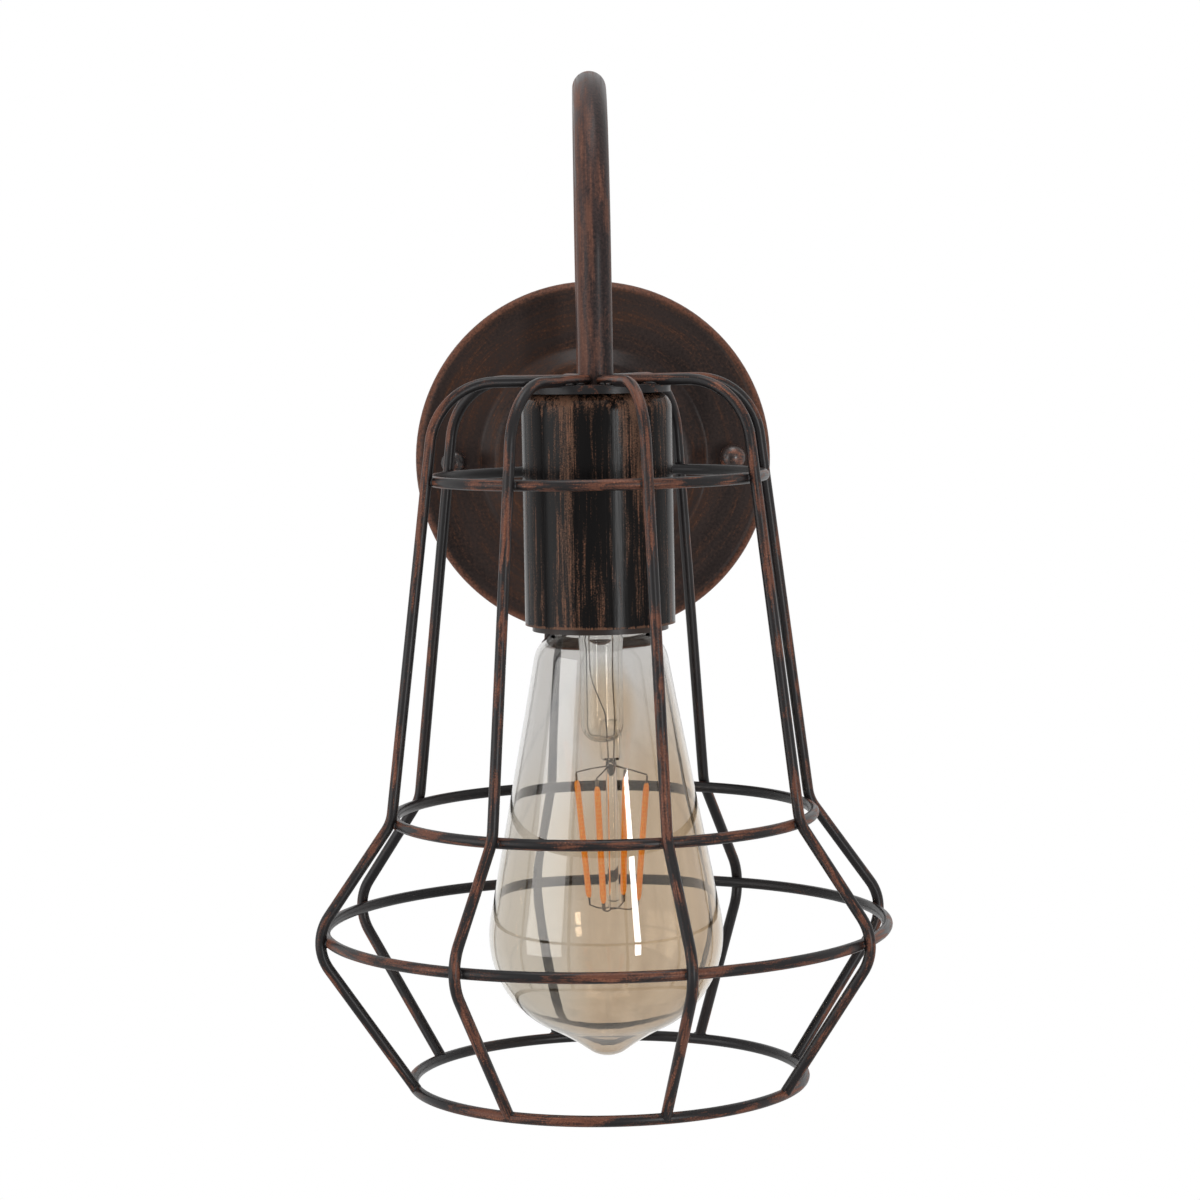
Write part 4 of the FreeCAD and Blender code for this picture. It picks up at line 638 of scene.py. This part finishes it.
rib_outline = rounded([(r, 0, z) for r, z in RIB_CORNERS], RIB_BENDS)
for i, azimuth in enumerate(RIB_AZIMUTHS):
    rib = Shape()
    path = [spoke(azimuth, p.x, p.z) for p in rib_outline]
    rib.tube(path, WIRE_R, sides=24, start=i * RIB_SHIFT, normal=outwards(azimuth + 90))
    rib.piece(f"rib_{i + 1}", "lamp", "antique_metal", [wire_metal], [f"cage_rib_{i + 1}"])

for k, (label, (radius, height)) in enumerate(RINGS.items()):
    ring = Shape()
    seam = CAGE_TURN + 180
    path = [spoke(seam + 360 * i / RING_STEPS, radius, height) for i in range(RING_STEPS + 1)]
    ring.tube(path, WIRE_R, sides=24, start=k * RING_SHIFT, normal=UP)
    ring.piece(f"{label}_ring", "lamp", "antique_metal", [wire_metal], [f"cage_{label}_ring"])


NUGGET_ROWS, NUGGET_SIDES = 8, 14
NUGGET_UNEVEN = 0.16


def nugget(shape, centre, reach, seed):
    """A small uneven lump of weld, reaching so far along three directions."""
    rings = []
    for k in range(NUGGET_ROWS + 1):
        polar = math.pi * k / NUGGET_ROWS
        if k in (0, NUGGET_ROWS):
            rings.append([centre + reach[2] * math.cos(polar)])
            continue
        ring = []
        for i in range(NUGGET_SIDES):
            angle = TAU * i / NUGGET_SIDES
            out = reach[0] * math.cos(angle) * math.sin(polar) + reach[1] * math.sin(angle) * math.sin(polar)
            point = out + reach[2] * math.cos(polar)
            swell = 1 + NUGGET_UNEVEN * noise.noise(point * 1.7 + Vector((seed * 3.1, seed * 1.7, 0)))
            ring.append(centre + point * swell)
        rings.append(ring)
    shape.skin(rings)


# Lumps at both sides of each rib, where it crosses a ring, ends on the mouth ring and lies on the plate
*CROSSED_RINGS, MOUTH_RING = RINGS.values()
PLATE_WELDS = (17.0, 11.0)
# Where a lump's middle is from the wire's: outwards, to the side and upwards
RING_OUT, RING_ASIDE = 1.3, 0.95
MOUTH_OUT, MOUTH_ASIDE, MOUTH_UP = 0.75, 1.0, 1.05
PLATE_ASIDE, PLATE_UP = 1.35, 0.15
welds = Shape()
for i, azimuth in enumerate(RIB_AZIMUTHS):
    out, side = outwards(azimuth), outwards(azimuth + 90)
    for k, (radius, height) in enumerate(CROSSED_RINGS):
        for j, hand in enumerate((-1, 1)):
            centre = spoke(azimuth, radius + RING_OUT, height) + side * hand * RING_ASIDE
            nugget(welds, centre, (side * 0.9, out * 0.65, UP * (0.9 + 0.2 * j)), i * 9 + k * 2 + j)
    radius, height = MOUTH_RING
    for j, hand in enumerate((-1, 1)):
        centre = spoke(azimuth, radius + MOUTH_OUT, height + MOUTH_UP) + side * hand * MOUTH_ASIDE
        nugget(welds, centre, (side * 1.15, out * 0.8, UP * 0.75), i * 7 + j + 40)
    for j, run in enumerate(PLATE_WELDS):
        for hand in (-1, 1):
            centre = spoke(azimuth, run, PLATE_TOP + PLATE_UP) + side * hand * PLATE_ASIDE
            nugget(welds, centre, (out * 2.2, side * 0.7, UP * 0.55), i * 5 + j * 3 + hand)
welds.piece("cage_welds", "lamp", "antique_metal", [dark_weld_and_painted_shade], sharp=60.0)

# Bulb

CAP_FOOT = -40.3
TIP_Z = -157.5
WALL = 0.9

# Outline of the glass, as (radius, height) of each arc's centre and the arc's radius
COLLAR_R, COLLAR_H, NECK_R = 12.5, 5.0, 13.1
SHOULDER, SHOULDER_R = Vector((8.4, CAP_FOOT - 10.2)), 10.0
BELLY, BELLY_R = Vector((4.0, TIP_Z + 33.5)), 28.0
TIP, TIP_R = Vector((0.0, TIP_Z + 9.0)), 9.0
DIP_R = 70.0
NECK_EASE, NECK_EASE_STEPS, NECK_EASE_TURN = 1.1, 6, 8
FLANK_STEPS = 24


def beside(ahead):
    """The direction to the right of a way, in the plane of the outline."""
    return Vector((ahead.y, -ahead.x))


def angle_to(start, end):
    return math.degrees(math.atan2(end.y - start.y, end.x - start.x))


def envelope(inset):
    """The glass's outline from its collar to its tip: neck, shoulder, flank, belly, dip and tip."""
    shoulder_r, belly_r, tip_r, dip_r = SHOULDER_R - inset, BELLY_R - inset, TIP_R - inset, DIP_R + inset
    up = SHOULDER - BELLY
    lean = (belly_r - shoulder_r) / up.length
    ahead = up.normalized()
    flank = beside(ahead) * math.sqrt(1 - lean**2) + ahead * lean
    flank_angle = math.degrees(math.atan2(flank.y, flank.x))
    way = BELLY - TIP
    along = ((tip_r + dip_r) ** 2 - (belly_r + dip_r) ** 2 + way.length**2) / (2 * way.length)
    ahead = way.normalized()
    dip = TIP + ahead * along + beside(ahead) * math.sqrt((tip_r + dip_r) ** 2 - along**2)
    to_belly, to_tip = angle_to(dip, BELLY), angle_to(dip, TIP) % 360

    collar_r, neck_r, top = COLLAR_R - inset, NECK_R - inset, CAP_FOOT - inset
    points = [(collar_r, CAP_FOOT + COLLAR_H), (collar_r, top), (neck_r, top)]
    neck_angle = math.degrees(math.acos((neck_r - SHOULDER.x) / shoulder_r))
    ease_angle = neck_angle - NECK_EASE_TURN
    neck_foot = Vector(arc(SHOULDER, shoulder_r, neck_angle, neck_angle, 1)[0])
    ease_end = Vector(arc(SHOULDER, shoulder_r, ease_angle, ease_angle, 1)[0])
    ease_start = neck_foot + Vector((0.0, NECK_EASE))
    for k in range(NECK_EASE_STEPS):
        share = k / NECK_EASE_STEPS
        points.append(tuple(ease_start.lerp(neck_foot, share).lerp(neck_foot.lerp(ease_end, share), share)))
    points += arc(SHOULDER, shoulder_r, ease_angle, flank_angle, 16)
    high_r, high_z = points[-1]
    belly = arc(BELLY, belly_r, flank_angle, to_belly - 180, 44)
    wider, lower = belly[0][0] - high_r, belly[0][1] - high_z
    for k in range(1, FLANK_STEPS):
        points.append((high_r + wider * k / FLANK_STEPS, high_z + lower * k / FLANK_STEPS))
    points += belly
    points += arc(dip, dip_r, to_belly, to_tip, 12)[1:]
    points += arc(TIP, tip_r, to_tip - 180, -90, 12)[1:]
    points[-1] = (0.0, TIP_Z + inset)
    return points


BLOWN_DEPTH = 0.09
BLOWN_TOP, BLOWN_FADE = CAP_FOOT - 4.0, 20.0
BLOWN_ROUND, BLOWN_UP = 1.6, 0.025


def blown(angle, height):
    """The slight unevenness of a blown wall, the same outside and inside."""
    below_neck = min(1.0, max(0.0, (BLOWN_TOP - height) / BLOWN_FADE))
    above_tip = min(1.0, max(0.0, (height - TIP_Z) / BLOWN_FADE))
    depth = BLOWN_DEPTH * (below_neck * above_tip)
    round_x, round_y = math.cos(angle) * BLOWN_ROUND, math.sin(angle) * BLOWN_ROUND
    return depth * noise.noise(Vector((round_x, round_y, height * BLOWN_UP))) - depth


bulb = Shape()
bulb.turned(list(reversed(envelope(WALL))) + envelope(0.0), sides=160, swell=blown)
bulb.piece("bulb_envelope", "bulb", "amber_glass", [amber_glass], ["bulb_glass"], sharp=60.0)

# The press, the rod and the filaments stand a little to one side of the bulb's axis
MOUNT = Vector((2.2, 0, 0))


def mounted(x, z):
    """A place in the plane of the press, so far to the right of the mount's own axis."""
    return MOUNT + Vector((x, LAMP_Y, z))


# Glass stem: trumpet flare, round-footed tube, pressed end with its wires, rod
TUBE_R = 5.8
FOOT_R = 4.8
STEM_FOOT = CAP_FOOT - 31.2
PRESS_FOOT = STEM_FOOT - 5.0
ROD_FOOT = PRESS_FOOT - 41.0
stem = Shape()
foot_centre = (TUBE_R - FOOT_R, STEM_FOOT + FOOT_R)
flare_out = [(11.5, -35.4), (9.2, -36.8), (7.4, -38.8), (6.2, -42.0), (TUBE_R, -46.0)]
foot_out = arc(foot_centre, FOOT_R, 0, -90, 10) + [(0.0, STEM_FOOT)]
flare_in = [(10.8, -35.4), (8.5, -37.2), (6.7, -39.4), (5.4, -42.3), (TUBE_R - WALL, -46.0)]
foot_in = arc(foot_centre, FOOT_R - WALL, 0, -90, 10) + [(0.0, STEM_FOOT + WALL)]
stem.turned(list(reversed(flare_in + foot_in)) + flare_out + foot_out, sides=64)

PRESS_TOP = -65.4
PRESS_SIDES = 40
SQUARENESS = 0.55


def pressed(z, width, depth):
    """A ring of the pressed end: flat faces with round edges."""
    ring = []
    for i in range(PRESS_SIDES):
        angle = TAU * i / PRESS_SIDES
        c, s = math.cos(angle), math.sin(angle)
        x = math.copysign(abs(c) ** SQUARENESS, c) * width / 2
        y = math.copysign(abs(s) ** SQUARENESS, s) * depth / 2
        ring.append(MOUNT + Vector((x, LAMP_Y + y, z)))
    return ring


press_rings = [(PRESS_TOP, 3.4, 3.0), (-65.6, 4.4, 3.6), (-66.6, 5.6, 3.2), (-68.0, 6.0, 3.1)]
press_rings += [(-73.5, 6.0, 3.0), (-75.6, 5.8, 2.8), (PRESS_FOOT, 4.6, 2.0)]
stem.skin([[mounted(0, PRESS_TOP)]] + [pressed(*r) for r in press_rings] + [[mounted(0, PRESS_FOOT)]])
ROD_TOP, ROD_R = -76.0, 1.5
rod = [(0.0, ROD_TOP), (1.3, ROD_TOP), (ROD_R, -77.2), (ROD_R, ROD_FOOT + 3.0), (ROD_R, ROD_FOOT + 0.8)]
rod += [(1.1, ROD_FOOT + 0.2), (0.0, ROD_FOOT)]
stem.turned(list(reversed(rod)), sides=32, centre=(MOUNT.x, LAMP_Y))
stem.piece("stem_glass", "bulb", "clear_glass", [clear_glass], ["bulb_stem"], sharp=60.0)

# Filament strips and the wires that carry them
FIL_TOP, FIL_FOOT = PRESS_FOOT - 4.0, PRESS_FOOT - 40.0
FIL_TOP_R, FIL_FOOT_R = 10.4, 7.0
FIL_AZIMUTHS = [67.0 + 90 * i for i in range(4)]
FIL_SHIFT = 41.0
STRIP_R, STRIP_FLAT = 0.85, 0.94
LUG_R, LUG_FLAT, LUG_OUT, LUG_IN = 0.55, 0.35, 1.9, 2.3
STRIP_SHARES = (0.0, 0.012, 0.03, 0.06, 0.5, 0.94, 0.97, 0.988, 1.0)
STRIP_SWELLS = (0.45, 0.72, 0.9, 1.0, 1.0, 1.0, 0.9, 0.72, 0.45)
SUPPORT_R = 0.2
ROOT_X, ROOT_Z = 0.7, PRESS_FOOT + 0.2


def strip_swell(share):
    """A strip is round at both ends."""
    return STRIP_SWELLS[round(share * (len(STRIP_SWELLS) - 1))]


strips, supports = Shape(), Shape()
for i, azimuth in enumerate(FIL_AZIMUTHS):
    top = MOUNT + spoke(azimuth, FIL_TOP_R, FIL_TOP)
    foot = MOUNT + spoke(azimuth, FIL_FOOT_R, FIL_FOOT)
    lean = (foot - top).normalized()
    out = outwards(azimuth)
    start, end = top + lean * LUG_OUT, foot - lean * LUG_OUT
    run = [start + (end - start) * share for share in STRIP_SHARES]
    strips.tube(run, STRIP_R, sides=20, flat=STRIP_FLAT, normal=out, start=i * FIL_SHIFT, swell=strip_swell)
    for end, towards in ((top, 1), (foot, -1)):
        lug = [end, end + lean * towards * 0.8, end + lean * towards * LUG_IN]
        strips.tube(lug, LUG_R, sides=12, flat=LUG_FLAT, normal=out, slot=1)

    hand = 1 if top.x > MOUNT.x else -1
    middle = MOUNT + spoke(azimuth, FIL_TOP_R * 0.55, FIL_TOP + 1.5)
    upper = [mounted(hand * ROOT_X, ROOT_Z), mounted(hand * ROOT_X, FIL_TOP + 2.4), middle, top + UP * 0.3]
    supports.tube(rounded(upper, [0.8, 6.0], 0.5), SUPPORT_R, sides=10)
    middle = MOUNT + spoke(azimuth, FIL_FOOT_R * 0.6, FIL_FOOT - 0.9)
    lower = [mounted(0, FIL_FOOT - 0.35), middle, foot - UP * 0.1]
    supports.tube(rounded(lower, [5.0], 0.5), SUPPORT_R, sides=10)

for hand in (-1, 1):
    lead = [Vector((hand * 3.4, LAMP_Y, -36.0)), Vector((hand * 3.0, LAMP_Y, -54.0))]
    lead += [mounted(hand * 1.2, -64.0), mounted(hand * ROOT_X, ROOT_Z)]
    supports.tube(rounded(lead, [18.0, 12.0], 1.0), SUPPORT_R, sides=10)
strips.piece("filament_strips", "bulb", "filament", [filament_coat, bright_wire], ["bulb_filaments"])
supports.piece("support_wires", "bulb", "bright_wire", [bright_wire], ["bulb_support_wires"])

# Screw cap and the shell that takes it: one rolled thread, 3.63 mm a turn, in step with each other
PITCH = 3.63
CAP_WAVE, CAP_THREAD = 0.42, (-36.8, -21.6)
SHELL_WAVE, SHELL_THREAD, SHELL_FADE = 0.4, (-31.6, -12.6), 2.2


def thread(angle, height, low, high, fade=1.6):
    """How far out the rolled wave is, -1 to 1, faded out at both ends of the threaded length."""
    ends = min(1.0, max(0.0, (height - low) / fade), max(0.0, (high - height) / fade))
    return math.cos(TAU * height / PITCH - angle) * ends


def cap_wave(angle, height):
    return CAP_WAVE * thread(angle, height, *CAP_THREAD)


def shell_wave(angle, height):
    return SHELL_WAVE * thread(angle, height, *SHELL_THREAD, SHELL_FADE)


ROW_STEP = 0.22
CAP_MID, CAP_WALL, CAP_INNER_TOP = 12.56, 0.35, -19.85
cap = Shape()
outer = [(10.6, -19.5), (11.0, -19.55), (11.9, -20.2), (12.4, -21.0)]
outer += [(CAP_MID, -21.5 - ROW_STEP * k) for k in range(71)]
outer += [(12.6, -37.2), (13.0, -37.35), (13.25, -37.6), (13.3, -38.2)]
outer += [(13.3, CAP_FOOT + 0.4), (13.1, CAP_FOOT)]
inner = [(r - CAP_WALL, min(z + (0.3 if z > -21.0 else 0.0), CAP_INNER_TOP)) for r, z in outer]
cap.turned(list(reversed(inner)) + outer, sides=120, swell=cap_wave, closed=True)
cap.piece("screw_cap", "bulb", "nickel_cap", [nickel], ["bulb_cap"], sharp=50.0)

SHELL_R, SHELL_WALL = 13.0, 0.34
shell = Shape()
inner = [(SHELL_R, -31.8 + ROW_STEP * k) for k in range(96)]
outer = [(r + SHELL_WALL, z) for r, z in inner]
shell.turned(inner + list(reversed(outer)), sides=120, swell=shell_wave, closed=True)
TAB_X, TAB_THICK, TAB_HALF, TAB_FOOT, TAB_TOP = 13.4, 0.4, 2.5, -13.3, 10.2
tab = []
for hand, height in ((-1, TAB_FOOT), (1, TAB_FOOT), (1, TAB_TOP), (-1, TAB_TOP)):
    tab.append(Vector((TAB_X, LAMP_Y + hand * TAB_HALF, height)))
tab += [p + RIGHT * TAB_THICK for p in tab]
shell.add(tab, [(0, 3, 2, 1), (4, 5, 6, 7), (0, 1, 5, 4), (1, 2, 6, 5), (2, 3, 7, 6), (3, 0, 4, 7)])
shell.piece("screw_shell_rolled", "lamp", "brass", [brass], ["screw_shell"], sharp=50.0)

# Finishes of the nodes that carry over as they are

FINISHES = {
    "canopy": canopy_metal,
    "canopy_cap_nuts": small_metal,
    # The plate is darkened as painted shade: it lies in shade under the cage's wires
    "cage_plate": dark_weld_and_painted_shade,
    "socket_cup": cup_metal,
    "lampholder_body": ceramic,
    "bulb_insulator": black_glass,
    "bulb_tip_contact": solder,
    "bulb_driver_board": board_face,
    "centre_contact": brass,
    "holder_terminals": brass,
    "terminal_block": block_plastic,
    "live_wire": brown_pvc,
    "neutral_wire": blue_pvc,
    "earth_wire": earth_sleeve(),
    "bracket_studs": thread_y,
    "rear_nipple": thread_y,
    "front_nipple": thread_z,
}
for name, node in cad.items():
    if node.hide_render:
        continue
    node.data.materials.clear()
    node.data.materials.append(FINISHES.get(name, zinc))

# Studio

FLOOR_Z = -420.0
floor = Shape()
floor_edge = [(0.0, 0), (300.0, 0), (560.0, 0), (566.0, -1), (568.0, -4), (560.0, -6), (0.0, -6)]
floor.turned([(radius, FLOOR_Z + drop) for radius, drop in floor_edge], sides=96)
floor_finish = moulded("floor_paper", srgb(240, 240, 239), srgb(236, 236, 235), rough=0.7, grain=0.02)
floor_data = bpy.data.meshes.new("floor")
floor_data.from_pydata([p * MM for p in floor.points], [], floor.faces)
floor_data.materials.append(floor_finish)
floor_object = bpy.data.objects.new("floor", floor_data)
scene.collection.objects.link(floor_object)

# The camera, reflections and glass see a white room. What lights the lamp is dimmer
world = bpy.data.worlds.new("studio")
scene.world = world
world.use_nodes = True
tree = world.node_tree
tree.nodes.clear()
output = tree.nodes.new("ShaderNodeOutputWorld")
rays = tree.nodes.new("ShaderNodeLightPath").outputs
shown = tree.nodes.new("ShaderNodeBackground")
shown.inputs["Color"].default_value = (1, 1, 1, 1)
shown.inputs["Strength"].default_value = 1.0
lit = tree.nodes.new("ShaderNodeBackground")
lit.inputs["Color"].default_value = (0.97, 0.98, 1.0, 1)
lit.inputs["Strength"].default_value = 0.42
seen = rays["Is Camera Ray"]
for kind in ("Is Glossy Ray", "Is Transmission Ray"):
    either = tree.nodes.new("ShaderNodeMath")
    either.operation = "MAXIMUM"
    tree.links.new(seen, either.inputs[0])
    tree.links.new(rays[kind], either.inputs[1])
    seen = either.outputs[0]
blend = tree.nodes.new("ShaderNodeMixShader")
tree.links.new(seen, blend.inputs[0])
tree.links.new(lit.outputs[0], blend.inputs[1])
tree.links.new(shown.outputs[0], blend.inputs[2])
tree.links.new(blend.outputs[0], output.inputs["Surface"])

AIM = (0.0, -0.12, -0.03)


def softbox(name, azimuth, height, distance, size, radiance):
    """A soft light aimed at the cage, in metres. Its azimuth starts at the front and goes towards +X."""
    a = math.radians(azimuth)
    place = Vector((math.sin(a) * distance, AIM[1] - math.cos(a) * distance, height))
    data = bpy.data.lights.new(name, "AREA")
    data.shape = "RECTANGLE"
    data.size, data.size_y = size
    data.energy = radiance * size[0] * size[1] * math.pi
    made = bpy.data.objects.new(name, data)
    scene.collection.objects.link(made)
    made.location = place
    made.rotation_mode = "QUATERNION"
    made.rotation_quaternion = (Vector(AIM) - place).to_track_quat("-Z", "Y")


softbox("strip_right", azimuth=29, height=-0.0935, distance=1.5, size=(0.16, 0.723), radiance=22.5)
softbox("wide_left", azimuth=-64, height=0.1, distance=1.6, size=(1.2, 1.3), radiance=2.5)
softbox("overhead", azimuth=0, height=1.5, distance=0.15, size=(0.9, 0.8), radiance=4.5)

# Camera, fitted to the photo's rings: focal length and frame in pixels, place in metres, angles in degrees
FOCAL_PX, FRAME_PX, SENSOR = 3455, 1200, 36.0
CAMERA_AT = (-0.00975, -1.07095, 0.0435)
YAW, PITCH_DOWN, ROLL = 0.6, 4.69, -1.05

camera_data = bpy.data.cameras.new("camera")
camera_data.sensor_width = SENSOR
camera_data.lens = FOCAL_PX * SENSOR / FRAME_PX
camera = bpy.data.objects.new("camera", camera_data)
scene.collection.objects.link(camera)
scene.camera = camera
yaw, pitch, roll = math.radians(YAW), math.radians(PITCH_DOWN), math.radians(ROLL)
forward = Vector((math.sin(yaw) * math.cos(pitch), math.cos(yaw) * math.cos(pitch), -math.sin(pitch)))
right = Vector((math.cos(yaw), -math.sin(yaw), 0))
up = right.cross(forward)
level_x = right * math.cos(roll) + up * math.sin(roll)
level_y = up * math.cos(roll) - right * math.sin(roll)
turn = Matrix((level_x, level_y, -forward)).transposed()
camera.matrix_world = Matrix.Translation(CAMERA_AT) @ turn.to_4x4()

scene.view_settings.view_transform = "Standard"
